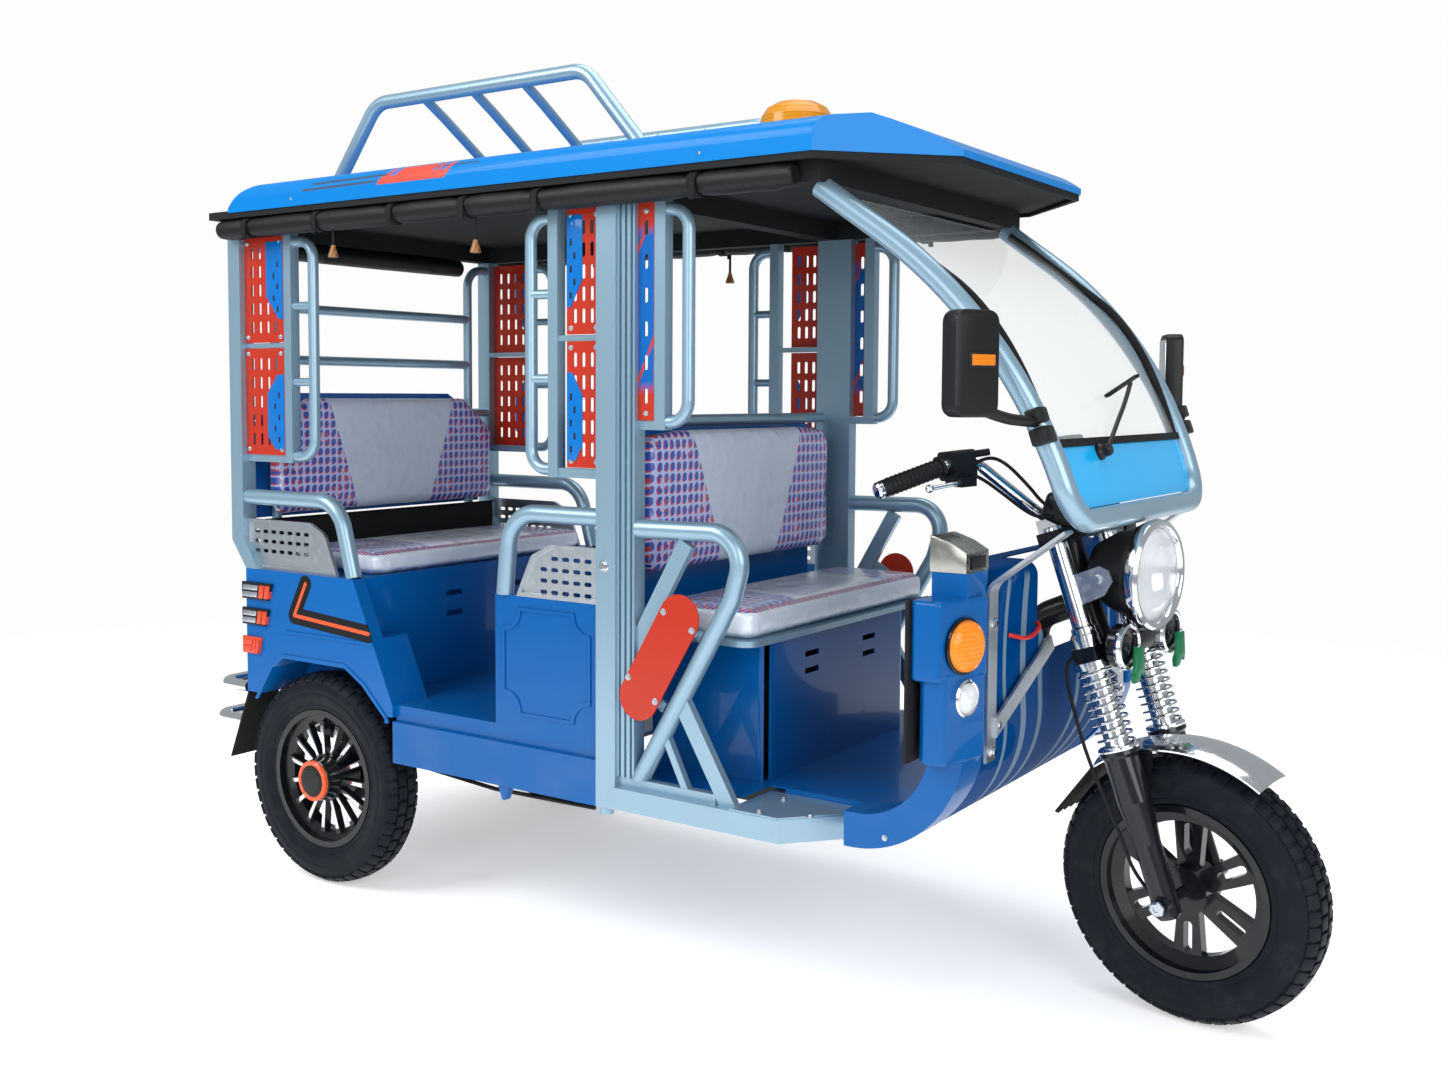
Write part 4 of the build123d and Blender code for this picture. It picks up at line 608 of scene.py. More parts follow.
# %% Rear hubs and spokes
paint("hub_ring", (0.80, 0.10, 0.025), 0.3, 0, 0.6, 0.1)
SPOKES = 15
for side, sign in (("right", -1), ("left", 1)):
    outer = at(-REAR_AXLE, HUB_OUT * sign, HUB_UP, (0, sign, 0))
    face = slab("spoke_face", [(57, -3.6), (126, -5.2), (126, 5.2), (57, 3.6)], 1.6, None, "chrome", 0.5)
    faces = copied(face, [outer @ Matrix.Rotation(2 * pi * k / SPOKES, 4, "Z") @ Matrix.Translation((0, 0, 23.4))
                          for k in range(SPOKES)], "spoke_faces_" + side)
    ring = lathe("hub_ring_" + side, [(38, 65), (38, 69), (40, 70.5), (46, 70.5), (48.5, 68), (49, 61), (45, 60)],
                 outer, "hub_ring", 48, True)
    cap = lathe("hub_cap_" + side, [(0, 65), (37, 65), (37.5, 66), (37.5, 69), (35, 70), (30, 70), (29, 71.5),
                                    (0, 72.5)], outer, "black_plastic", 40)
    edge = lathe("rim_edge_" + side, [(163.5, 37.6), (166.4, 37.6), (167, 39.2), (163, 39.2)],
                 outer, "black_wheel", 72, True)
    for piece in (faces, ring, cap, edge):
        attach(piece, "rear_wheel_" + side)
print("hubs dressed,", SPOKES, "bright spoke faces each")

# %% [markdown]
# Each fork leg has an open coil spring round a plated upper tube. One round section is carried along
# a screw line by the Screw modifier, nine turns, and the upper tube is lathed with its dust cap and
# the collar above the lower yoke.

# %% Fork springs
springs = []
for y in (-98, 98):
    place = forked(30, y, 0)
    tube = lathe("upper_tube", [(0, 289), (24, 289), (24, 296), (22.5, 298), (22.5, 444), (36, 446), (36, 460),
                                (33, 462), (19, 462), (19, 488), (25, 488), (25, 510), (23, 513), (23, 524),
                                (19, 528), (19, 722), (16, 724), (0, 724)], place, "chrome", 40)
    seat = lathe("spring_seat", [(24, 289), (38, 289), (39, 292), (38, 296), (35, 298), (24, 298)],
                 place, "chrome", 40, True)
    coil = start("circle", "coil", vertices=10, radius=2.5, fill_type="NOTHING", location=(33, 0, 0),
                 rotation=(pi / 2, 0, 0))
    bpy.ops.object.transform_apply()
    screw = coil.modifiers.new("turns", "SCREW")
    screw.angle = 2 * pi
    screw.screw_offset = 15.6
    screw.iterations = 9
    screw.steps = 28
    screw.render_steps = 28
    bpy.ops.object.modifier_apply(modifier="turns")
    coil.data.transform(Matrix.Translation((0, 0, 301)))
    settle(coil, place, "chrome")
    springs += [tube, seat, coil]
spring = join(springs, "coil_springs")
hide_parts("fork_springs")
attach(spring, "fork")
print("springs", len(spring.data.polygons), "faces")

# %% [markdown]
# The seats are foam pads in a printed cover under clear film. A block is laid out a little too small,
# its upper face is crowned, it is remeshed to even faces, and a Cloth simulation with inner pressure
# rounds it as foam does under a tight cover. A cap on how far any point moves keeps it in its frame.

# %% Padded pieces
def crown(piece, axis, tall):
    """Raises the middle of the side that faces along an axis."""
    low, high = ([f(v.co[i] for v in piece.data.vertices) for i in range(3)] for f in (min, max))
    others = [i for i in range(3) if i != axis]
    for v in piece.data.vertices:
        part = (v.co[axis] - low[axis]) / (high[axis] - low[axis])
        keep = 1.0
        for i in others:
            middle = (high[i] + low[i]) / 2
            keep *= max(0.0, 1 - abs((v.co[i] - middle) / (high[i] - low[i]) * 2) ** 4)
        v.co[axis] += tall * keep * part


FACE_SIZE = 0.006
PUFF_FRAMES = 20


def puffed(name, node, outline, thick, place, axis, tall, cap):
    """A padded piece from its outline in millimetres, puffed up; no point moves further than the cap."""
    piece = slab(name, outline, thick, place, None)
    even = piece.modifiers.new("even", "REMESH")
    even.mode = "VOXEL"
    even.voxel_size = FACE_SIZE
    only(piece)
    bpy.ops.object.modifier_apply(modifier="even")
    crown(piece, axis, tall)
    before = [v.co.copy() for v in piece.data.vertices]
    cloth = piece.modifiers.new("cloth", "CLOTH")
    cloth.settings.use_pressure = True
    cloth.settings.uniform_pressure_force = 4
    cloth.settings.quality = 3
    cloth.settings.effector_weights.gravity = 0
    cloth.point_cache.frame_start = 1
    cloth.point_cache.frame_end = PUFF_FRAMES
    for now in range(1, PUFF_FRAMES + 1):
        bpy.context.scene.frame_set(now)
    only(piece)
    bpy.ops.object.modifier_apply(modifier="cloth")
    for v, was in zip(piece.data.vertices, before):
        moved = v.co - was
        if moved.length > cap:
            v.co = was + moved * (cap / moved.length)
    bpy.context.scene.frame_set(1)
    relax = piece.modifiers.new("relax", "SMOOTH")
    relax.factor = 0.6
    relax.iterations = 6
    only(piece)
    bpy.ops.object.modifier_apply(modifier="relax")
    finer = piece.modifiers.new("finer", "SUBSURF")
    finer.levels = 1
    finer.render_levels = 1
    bpy.ops.object.modifier_apply(modifier="finer")
    settle(piece, None, "seat_cover", 60)
    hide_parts(node)
    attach(piece, "chassis")
    return piece


print("padding is ready")

# %% [markdown]
# The cushions are rectangles with their corners cut twice, and they lie flat. The backrests stand on
# edge and narrow toward the top, so their outline is drawn across and up and pushed out forward.

# %% Cushions and backrests
def corners(half_x, half_y, cut=26):
    """A rectangle with its corners cut twice."""
    quarter = [(half_x, half_y - cut), (half_x - cut * 0.3, half_y - cut * 0.3), (half_x - cut, half_y)]
    return (quarter + [(-x, y) for x, y in reversed(quarter)] + [(-x, -y) for x, y in quarter]
            + [(x, -y) for x, y in reversed(quarter)])


def cushion(name, node, half_x, half_y, thick, place):
    """A cushion lies flat, and its upper face is the crowned side."""
    return puffed(name, node, corners(half_x, half_y), thick, place, 2, 0.006, 0.009)


def back(name, node, x, half, z0, z_side, z_top, top_half):
    """A backrest stands on edge: its outline is drawn across and up, and its front is the crowned side."""
    rim = 24
    outline = [(-half + rim, z0), (half - rim, z0), (half, z0 + rim), (half, z_side - rim), (half - rim, z_side),
               (top_half, z_top), (-top_half, z_top), (-half + rim, z_side), (-half, z_side - rim), (-half, z0 + rim)]
    return puffed(name, node, outline, 32, at(x, 0, 0, (1, 0, 0), (0, 1, 0)), 0, 0.004, 0.007)


CUSHIONS = [
    cushion("rear_cushion", "rear_seat_cushion", 154, 397, 38, at(-0.902, 0, 0.757)),
    cushion("driver_cushion", "driver_seat_cushion", 127, 390, 44, at(0.187, 0, 0.708)),
    back("rear_backrest", "rear_seat_back", -1.134, 397, 876, 1104, 1177, 282),
    back("driver_backrest", "driver_seat_back", 0.0145, 377, 808, 1105, 1115, 252)]
print("cushions", [len(c.data.polygons) for c in CUSHIONS], "faces")

# %% [markdown]
# The printed covers are colour on coordinates. The backrests have a silver-grey tapered middle in a
# lavender field of small rounded squares, blue with a red shade behind each, pushed a little off their
# grid, and a few are left out. The cushions carry a like field at their two ends, where some squares
# are red, and a dashed red and blue border round the top. Clear crinkled film lies over all of it,
# which is why the coat is glossy and the bump creased.

# %% Seat covers
LAVENDER = (0.46, 0.50, 0.84)
PRINT_BLUE = (0.03, 0.08, 0.42)
PRINT_RED = (0.60, 0.05, 0.07)
FILM_GREY = (0.52, 0.60, 0.74)
FIELD_FROM = 0.19  # a cushion's printed ends begin this far from the middle
BACK_GRID = (0.0215, 0.0235)  # from one square to the next, across and up
DASHES = 0.022  # the length in which the border's red and blue repeat


def squares(made, across, along, pitch_a, pitch_b):
    """A field of small rounded squares on a wavy grid: where they are, and a random value for each."""
    wobble = made.noise(60, 2) * 0.003 - 0.0015
    a, b = across + wobble + wobble, along + wobble
    from_a = abs(a.centred(pitch_a)) / (pitch_a * 0.30)
    from_b = abs(b.centred(pitch_b)) / (pitch_b * 0.36)
    inside = made.range(from_a * from_a * from_a + from_b * from_b * from_b, 1.25, 0.75)
    square = made.node("CombineXYZ", X=(across + wobble).steps(pitch_a), Y=b.steps(pitch_b))
    return inside, made.node("TexWhiteNoise", {"noise_dimensions": "2D"}, Vector=square)


def film(made, strength=0.9):
    """Creases of clear film: long soft folds with finer wrinkles."""
    folds = made.noise(11, 2)
    fine = made.node("TexNoise", {"noise_type": "RIDGED_MULTIFRACTAL"}, Vector=made.place, Scale=22.0, Detail=3.0)
    made.set("Coat Weight", 0.55 + folds * 0.45)
    made.set("Roughness", 0.18 + folds * 0.2)
    return made.bump(folds + fine * 0.6, strength, 0.010)


def back_cover(name, foot, low, slope):
    """The cover of a backrest: its plain middle is low wide at the foot, and widens with the slope."""
    made = Finish(name, FILM_GREY, 0.3, Coat_Roughness=0.12, Sheen_Weight=0.05)
    inside, cell = squares(made, made.y, made.z, *BACK_GRID)
    shadow = squares(made, made.y + 0.003, made.z + 0.003, *BACK_GRID)[0]
    ground = made.mix(made.noise(24, 2), LAVENDER, (0.55, 0.60, 0.88))
    under = made.mix(shadow, ground, PRINT_RED)
    field = made.mix(inside * made.range(cell, 0.10, 0.14), under, PRINT_BLUE)
    middle = made.range((made.z - foot) * slope + low - abs(made.y), -0.0008, 0.0008)
    shade = made.mix(made.noise(5, 3), FILM_GREY, (0.65, 0.71, 0.83))
    made.set("Base Color", made.mix(middle, field, shade))
    return film(made, 0.72)


def cushion_cover(name, top, half, x_mid, x_half):
    """The cover of a cushion whose upper face is at top and whose edges lie half and x_half away."""
    made = Finish(name, FILM_GREY, 0.3, Coat_Roughness=0.12, Sheen_Weight=0.05)
    inside, cell = squares(made, made.y, made.x, 0.026, 0.024)
    spot = made.mix(made.range(cell, 0.66, 0.70), PRINT_BLUE, PRINT_RED)
    ends = made.range(abs(made.y), FIELD_FROM - 0.001, FIELD_FROM + 0.001)
    # The plain middle's pale blue and its lighter patches are partly the cover's own colour and partly a painted
    # reflection of the sky in the film.
    plain = made.mix(made.noise(5, 3), (0.78, 0.85, 0.94), (0.90, 0.94, 0.99))
    over = made.mix(ends * 0.75, plain, made.mix(inside, LAVENDER, spot))
    rim = (abs(made.y) - half).higher(abs(made.x - x_mid) - x_half)
    band = made.range(abs(rim + 0.024), 0.0075, 0.0068)
    strip = made.mix(made.range((made.x + made.y).centred(DASHES), -0.001, 0.001), PRINT_RED, PRINT_BLUE)
    gap = made.range(abs(abs((made.x - made.y).centred(DASHES)) - DASHES / 4), 0.0012, 0.0018)
    over = made.mix(band, over, made.mix(gap, (0.66, 0.66, 0.72), strip))
    on_top = made.range(made.z, top - 0.010, top - 0.007)
    made.set("Base Color", made.mix(on_top, (0.76, 0.83, 0.92), over))
    return film(made)


COVERS = (cushion_cover("rear_cover", 0.805, 0.405, -0.902, 0.162),
          cushion_cover("driver_cover", 0.762, 0.398, 0.187, 0.135),
          back_cover("rear_back_cover", 0.868, 0.125, 0.34),
          back_cover("driver_back_cover", 0.800, 0.105, 0.40))
for piece, made in zip(CUSHIONS, COVERS):
    piece.data.materials.clear()
    piece.data.materials.append(made.material)
print("covers ready")

# %% [markdown]
# Stickers and printed bands are flat on the real vehicle, so they are colour too, with no step. Each
# is a mask built from distances: a band is where the distance to a line is small. The rear fender has
# a black band that turns a corner, with an orange-red line in it.

# %% The fender's band
def line_distance(made, a, b, p, q):
    """Distance of the point (a, b) from the segment p to q, in the plane of two coordinates."""
    dx, dz = q[0] - p[0], q[1] - p[1]
    along = (((a - p[0]) * dx + (b - p[1]) * dz) / (dx * dx + dz * dz)).higher(0.0).lower(1.0)
    u = a - p[0] - along * dx
    v = b - p[1] - along * dz
    return (u * u + v * v).root()


def sticker(made, mask, colour):
    """Lays a colour over whatever already feeds the paint's colour."""
    under = Term(made.tree, made.shader.inputs["Base Color"].links[0].from_socket)
    return made.set("Base Color", made.mix(mask, under, colour))


BAND_BLACK = (0.008, 0.008, 0.009)
BAND_RED = (0.78, 0.10, 0.035)
fender = paint("tub_blue", (0.0, 0.115, 0.40), 0.26, 0, 0.30)
corner = (-0.953, 0.646)
stem = line_distance(fender, fender.x, fender.z, (-0.911, 0.726), corner)
foot = line_distance(fender, fender.x, fender.z, corner, (-0.694, 0.626))
near = stem.lower(foot)
outside = fender.range(abs(fender.y), 0.462, 0.464)
sticker(fender, fender.range(near, 0.0215, 0.0205) * outside, BAND_BLACK)
sticker(fender, fender.range(near, 0.0048, 0.0042) * outside, BAND_RED)

print("fender banded")

# %% [markdown]
# The nose has three grey stripes on each side that bow outward as they rise. They are bands about a
# curved line, which is a parabola in the height.

# %% The nose's stripes
cowl = paint("cowl_blue", (0.0, 0.050, 0.20), 0.40, 0, 0.08)
cowl.shader.inputs["Specular IOR Level"].default_value = 0.0
level = (cowl.z - 0.70) / 0.34
for y0, reach, wide in ((0.108, 0.055, 0.011), (0.196, 0.085, 0.0135), (0.284, 0.105, 0.008)):
    bow = abs(cowl.y) - y0 + level * level * reach
    stripe = cowl.range(abs(bow), wide, wide - 0.001) * cowl.range(cowl.z, 0.86, 0.84)
    sticker(cowl, stripe, (0.15, 0.22, 0.30))

print("nose striped")

# %% [markdown]
# The roof's side has four thin dark streaks and an orange-red block with slots in it. The block leans,
# so it is cut on a slanted coordinate.

# %% The roof's stickers
roof = paint("roof_blue", (0.0, 0.205, 0.61), 0.28, 0, 0.12, 0.02)
for z, x0, x1 in ((1.676, -0.79, -0.60), (1.664, -0.82, -0.56), (1.652, -0.85, -0.60), (1.668, -0.43, -0.30)):
    streak = roof.range(abs(roof.z - z - (roof.x + 0.6) * 0.01), 0.0032, 0.0026)
    run = roof.range(abs(roof.x - (x0 + x1) / 2), (x1 - x0) / 2, (x1 - x0) / 2 - 0.004)
    sticker(roof, streak * run * roof.range(abs(roof.y), 0.500, 0.503), (0.05, 0.09, 0.16))
slope = roof.x - (roof.z - 1.66) * 0.9
block = roof.range(abs(slope + 0.485), 0.105, 0.103) * roof.range(abs(roof.z - 1.664), 0.021, 0.020)
notch = roof.range(abs(slope + 0.485), 0.050, 0.052).lower(roof.range(roof.z, 1.660, 1.661))
teeth = roof.range(slope.wrap(0.03), 0.0045, 0.0055)
block = block * (1.0 - notch * teeth * 0.85)
sticker(roof, block * roof.range(abs(roof.y), 0.490, 0.495), (0.66, 0.08, 0.05))
print("roof marked")

# %% [markdown]
# A few nodes take their own finish now: the fender, the cowl and the roof with their stickers, the
# dark lining under the roof, the top rails, which take the same near-black as painted shade under the
# roof, the bright lower screen pane, the beacon's deep amber and the blue sheet backs of the seats.

# %% Repainting nodes
def repaint(node, finish):
    NODES[node].data.materials.clear()
    NODES[node].data.materials.append(FINISH[finish].material)


# A near-black finish: the roof lining's own dark colour, and painted shade on the top rails and on the sheet below
# the rear backrest.
dark_lining_and_shade = Finish("dark_lining_and_shade", (0.012, 0.013, 0.014), 0.7, Specular_IOR_Level=0.2)
dark_lining_and_shade.bump(dark_lining_and_shade.noise(260, 3), 0.2, 0.0008)
paint("pane_blue", (0.006, 0.46, 0.92), 0.20, 0, 0.5, 0.0)
lens_finish("deep_amber", (0.74, 0.27, 0.003), 0.0)
paint("shell_blue", (0.006, 0.115, 0.42), 0.3, 0, 0.6, 0.0)
for node, finish in (("rear_tub", "tub_blue"), ("nose_cowl", "cowl_blue"), ("roof_shell", "roof_blue"),
                     ("top_rails", "dark_lining_and_shade"), ("windshield_panel", "pane_blue"), ("beacon", "deep_amber"),
                     ("seat_back_shells", "shell_blue"), ("roof_lining", "dark_lining_and_shade")):
    repaint(node, finish)
print("nodes repainted")

# %% [markdown]
# The headlamp is a plated ring round a moulded lens on a black bucket. The ring is lathed with a
# rolled edge. The lens is a shallow dome, with the reflector and the bulb's cap behind it, so that
# it has depth from the side. Clear plastic stays simple: a thin, nearly open surface with a coat.

# %% Headlamp
clear_lens = Finish("lamp_clear", (0.90, 0.94, 0.96), 0.06, Coat_Weight=1.0, Coat_Roughness=0.03)
flutes = abs(clear_lens.y.wrap(0.009) - 0.00225) / 0.00225
clear_lens.set("Alpha", 0.30 + flutes * 0.14)
clear_lens.bump(flutes, 0.25, 0.001)
lamp = steered(1.854, 0, 0.848)
bucket = lathe("headlamp_bucket", [(0, -118), (54, -108), (76, -70), (92, -26), (98, -16), (98, 2), (90, 2),
                                   (88, -20), (60, -52), (0, -60)], lamp, "black_plastic", 56)
rim = lathe("headlamp_rim", [(89, 3), (90, 10), (94, 15), (100, 16), (105, 11), (106, 3), (103, -7), (97, -8),
                             (97, 2)], lamp, "chrome", 72, True)
bowl = lathe("headlamp_reflector", [(88, 4), (84, -14), (66, -34), (40, -48), (14, -52), (14, -50), (40, -45),
                                    (64, -31), (82, -12), (86, 4)], lamp, "chrome", 56, True)
bulb = lathe("headlamp_bulb", [(0, -14), (9, -17), (12, -24), (12, -50), (0, -50)], lamp, "silver_plate", 24)
dome = lathe("headlamp_dome", [(0, 20), (30, 19), (60, 14.5), (80, 8.5), (89, 4), (89, 2), (80, 6), (60, 12),
                               (30, 16.5), (0, 17.5)], lamp, "lamp_clear", 56)
for piece in (bucket, rim, bowl, bulb, dome):
    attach(piece, "fork")
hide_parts("headlamp")
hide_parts("headlamp_lens")
print("headlamp built")

# %% [markdown]
# Below it hang two round horns with plated rims on a black bar, held by green plastic clips. A horn
# is a lathed dish with a stepped cone. The clips are bent fingers, drawn as a slab and eased.

# %% Horns
paint("clip_green", (0.004, 0.15, 0.055), 0.35, 0, 0.4, 0.0)
dishes = []
for y in (-0.089, 0.089):
    place = steered(1.819, y, 0.7235)
    dishes.append(lathe("horn_body", [(0, -2), (34, 0), (41, 6), (41, 26), (36, 28), (34, 24), (23, 22), (20, 26),
                                      (9, 27), (7, 31), (0, 32)], place, "fork_black", 40))
    dishes.append(lathe("horn_rim", [(34.5, 26), (35, 32), (38.5, 35), (43, 33), (44.5, 27), (42, 21), (40, 24)],
                        place, "chrome", 48, True))
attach(join(dishes, "horn_pair"), "fork")
bar = brick("horn_bar", (24, 116, 36), PARKED @ at(1.835 - REAR_AXLE, 0, 0.723), "fork_black", 4)
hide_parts("horns")
finger = [(-13, 20), (-15, -18), (-24, -34), (-20, -48), (-6, -47), (4, -32), (14, -40), (17, -26), (13, 18)]
clips = join([slab("clip", finger, 9, steered(1.856, y, 0.703), "clip_green", 2.5) for y in (-0.070, 0.102)],
             "horn_clips")
stub = brick("horn_stub", (42, 40, 16), PARKED @ at(1.803 - REAR_AXLE, 0, 0.715), "fork_black", 3)
for piece in (bar, clips, stub):
    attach(piece, "fork")
print("horns built")

# %% [markdown]
# The front pods carry a large amber lamp and a small clear fog lamp on each side. The amber one has a
# dark seat ring and a ribbed dome. The clear one has a bright rim and a reflector behind its dome.

# %% Pod lamps
def pod_place(z, inset):
    """The middle of the pod's slanted front face at a height, with local z square to that face."""
    outer = Vector((1.650 + inset * 0.4 - REAR_AXLE, -0.530 + inset, 0))
    inner = Vector((1.684 - inset * 0.3 - REAR_AXLE, -0.395, 0))
    spot = outer + (inner - outer) * 0.46
    return at(spot.x, spot.y, z, ((inner - outer).y, -(inner - outer).x, 0), (0, 0, 1))


lens_finish("amber_ribbed", (0.93, 0.25, 0.008), 0.08)
turn = pod_place(0.754, 0)
ring = lathe("turn_seat", [(43, -1), (50, -1), (50, 5), (48, 7), (44, 7)], turn, "fork_black", 48, True)
dome = lathe("turn_dome", [(45, 1), (45, 9), (43, 14), (36, 18.5), (33, 18.5), (31, 20.5), (22, 22), (20, 21.5),
                           (12, 23), (0, 23.4)], turn, "amber_ribbed", 56)
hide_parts("turn_lamps")
pair(dome)
pair(ring)
fog = pod_place(0.662, 0.013)
fog_clear = Finish("fog_clear", (0.92, 0.95, 0.97), 0.05, Coat_Weight=1.0)
fog_clear.set("Alpha", 0.35 + fog_clear.noise(40, 2) * 0.2)
parts = [lathe("fog_rim", [(25, -1), (33, -1), (33, 6), (30, 9), (26, 8)], fog, "chrome", 40, True),
         lathe("fog_bowl", [(0, 0), (26, 0), (27, 7), (25, 8), (15, 2.5), (7, 1.5), (6, 9), (0, 10)],
               fog, "chrome", 40),
         lathe("fog_dome", [(28, 6), (26, 10), (16, 17), (0, 20), (0, 18), (15, 15), (24, 9)], fog, "fog_clear", 40)]
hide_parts("fog_lamps")
for piece in parts:
    pair(piece)
pair(brick("pod_gasket", (7, 84, 284), at(1.5905 - REAR_AXLE, -0.4935, 0.691, (0, 0, 1), (1, 0, 0)), "rubber", 2.5))
print("pod lamps built")

# %% [markdown]
# The caps on the leg shields' columns are silver-beige boxes with a dark window in front. The box is
# a slab cut to its side outline, and its front face is inset and pushed in a little.

# %% Column caps
metal("cap_silver", (0.42, 0.42, 0.38), 0.24, 30)
cap = slab("column_cap", [(-1, 0), (69, 0), (69, 36), (41, 52), (6, 64), (-1, 64)], 94,
           at(1.596 - REAR_AXLE, -0.364, 0.876, (0, -1, 0), (1, 0, 0)), "cap_silver", 3)
pick(cap, lambda c, f: c.x > 0.7905 and f.normal.x > 0.9)
bpy.ops.mesh.inset(thickness=0.010)
bpy.ops.transform.translate(value=(-0.0015, 0, 0))
only(cap)
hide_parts("column_caps")
window = brick("cap_window", (2.5, 60, 22), at(1.6666 - REAR_AXLE, -0.411, 0.893), "black_plastic", 0.8)
pair(cap)
pair(window)
print("caps built")

# %% [markdown]
# Bolts hold the plates, the steps and the brackets. One hex bolt with its washer is modelled, then
# copied to every place, and each copy has a mesh of its own. The hex head starts as a six-sided
# cylinder and gets a chamfer by an inset that is raised.

# %% One bolt, copied
def bolts(name, places, finish="silver_plate", size=1.0):
    """Bolts whose washers sit at (x, y, z) and face along aim, and the same on the other side."""
    washer = lathe("washer", [(0, 0), (8, 0), (8, 1.3), (7.4, 1.8), (0, 1.8)], None, finish, 20)
    head = start("cylinder", "head", vertices=6, radius=5.8, depth=4, location=(0, 0, 3.8))
    bpy.ops.object.transform_apply()
    pick(head, lambda c, f: f.normal.z > 0.9)
    bpy.ops.mesh.inset(thickness=0.9)
    bpy.ops.transform.translate(value=(0, 0, 0.8))
    settle(head, None, finish, 20)
    bolt = join([washer, head])
    pair(copied(bolt, [at(x, y, z, aim) @ Matrix.Scale(size, 4) for x, y, z, aim in places], name))


# %% [markdown]
# Now the places. Slotted panels have a bolt at each corner, and the plates, the door post, the steps
# and the brackets have the bolts that hold them. Smaller screws are the same bolt, made smaller.

# %% Bolts in their places
OUT, UP, AHEAD_OF = (0, -1, 0), (0, 0, 1), (1, 0, 0)
PANEL_FACE = -0.4505
NARROW_PANEL = 0.096  # the middle of the panel ahead of the door post
# rear and front edge, foot and head, and the side that the upright is on
PANELS = ((-1.1397, -0.9963, 1.032, 1.292, 1), (-1.1397, -0.9963, 1.306, 1.561, 1),
          (-0.1077, -0.0193, 1.032, 1.292, -1), (-0.1077, -0.0193, 1.306, 1.561, -1))
spots = [(x, PANEL_FACE, z, OUT) for x0, x1, z0, z1, s in PANELS
         for x in (x0 + 0.011, x1 - 0.011) for z in (z0 + 0.013, z1 - 0.013)]
spots += [(NARROW_PANEL, PANEL_FACE, z, OUT) for z in (1.146, 1.545)]
bolts("panel_bolts", spots, size=0.72)
bolts("plate_bolts", [(x, -0.4683, z, OUT) for x, z in ((0.154, 0.755), (0.222, 0.724), (0.067, 0.615),
                                                        (0.134, 0.573))], size=0.85)
bolts("post_bolts", [(0.003, -0.466, 0.835, OUT)], "chrome", size=1.5)
bolts("channel_bolts", [(0.050, PANEL_FACE, z, OUT) for z in (1.047, 1.000, 0.912)], size=0.7)
bolts("bracket_bolts", [(0.7975, y, z, AHEAD_OF) for y, z in ((-0.352, 0.780), (-0.352, 0.547), (-0.330, 0.592))],
      "chrome", size=1.25)
bolts("step_bolts", [(x, y, 0.389, UP) for x, y in ((0.368, -0.359), (0.376, -0.461), (0.470, -0.430),
                                                    (0.526, -0.345))], size=0.9)
bolts("cowl_foot_bolts", [(0.640, -0.4555, 0.386, OUT)], size=0.7)
bolts("roof_screws", [(x, -0.511, 1.634, OUT) for x in (-0.888, 0.265)], "chrome", size=0.55)
axle = lathe("axle_nut", [(0, 2), (12, 2), (15, 4), (15, 9), (11, 12), (6, 12), (5, 9), (0, 9)],
             forked(35, -136, 0) @ Matrix.Rotation(pi / 2, 4, "X"), "silver_plate", 6)
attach(axle, "fork")
print("bolts placed")

# %% [markdown]
# Blue angular inserts with a row of short slots sit on the red panels. Each is a thin slab with an
# eased edge; its outline leans in at the ends, and a tall panel's insert differs from a low one's.

# %% Panel inserts
paint("insert_blue", (0.0, 0.155, 0.52), 0.3, 0, 0.4, 0.0)
DASH_PITCH = 0.027
LOW_INSERT = ((0, 0.014), (0.55, 0.014), (1, 0.046), (1, 0.150), (0.35, 0.196), (0, 0.196))
shapes = []
for x0, x1, z0, z1, s in PANELS:
    wide = (x1 - x0) * (0.42 if s > 0 else 0.46)
    edge = x1 if s > 0 else x0
    outline = [(wide * a, z0 + b) for a, b in LOW_INSERT]
    if z1 > 1.4:
        outline = [(0, z1 - 0.012), (wide, z1 - 0.012), (wide, z0 + 0.112), (wide * 0.25, z0 + 0.056),
                   (0, z0 + 0.056)]
    shapes.append(slab("insert", [((edge - s * (a + 0.001)) * 1000, b * 1000) for a, b in outline], 2.0,
                       at(0, PANEL_FACE, 0, OUT, (1, 0, 0)), "insert_blue", 0.5))
    heights = [b for a, b in outline]
    for k in range(int((max(heights) - min(heights) - 0.03) / DASH_PITCH)):
        spot = at(edge - s * wide * (0.30 + 0.24 * (k % 2)), PANEL_FACE - 0.002,
                  min(heights) + 0.024 + k * DASH_PITCH)
        shapes.append(brick("dash", (5, 1.2, 14), spot, "black_plastic", 0.4))
pair(join(shapes, "panel_inserts"))
print("inserts", len(shapes), "pieces a side")

# %% [markdown]
# The narrow panel ahead of the door post is blue in the middle, with red streaks that lean, and it
# fades to red at its ends. That is paint, so it is a mask on the red paint.

# %% The narrow panel's print
strip = FINISH["panel_red"]
inside = strip.range(abs(strip.x - NARROW_PANEL), 0.0192, 0.0188) * strip.range(abs(strip.z - 1.352), 0.172, 0.140)
streak = (strip.z - strip.x * 2.2).centred(0.130)
slash = strip.range(abs(streak), 0.0085, 0.0075) * strip.range(strip.noise(9, 1), 0.45, 0.5)
sticker(strip, inside, strip.mix(slash, (0.0, 0.11, 0.40), (0.50, 0.04, 0.03)))
print("narrow panel printed")

# %% [markdown]
# The rear lamps are three slanted blocks down each corner of the tub, dark with raised bars: one
# silver and two orange-red. Each block is a slab cut on a slant, and the bars are thinner slabs on it.

# %% Rear lamps
lens_finish("bar_red", (0.75, 0.075, 0.03))
REAR_X = -1.140
LEAN = 0.16
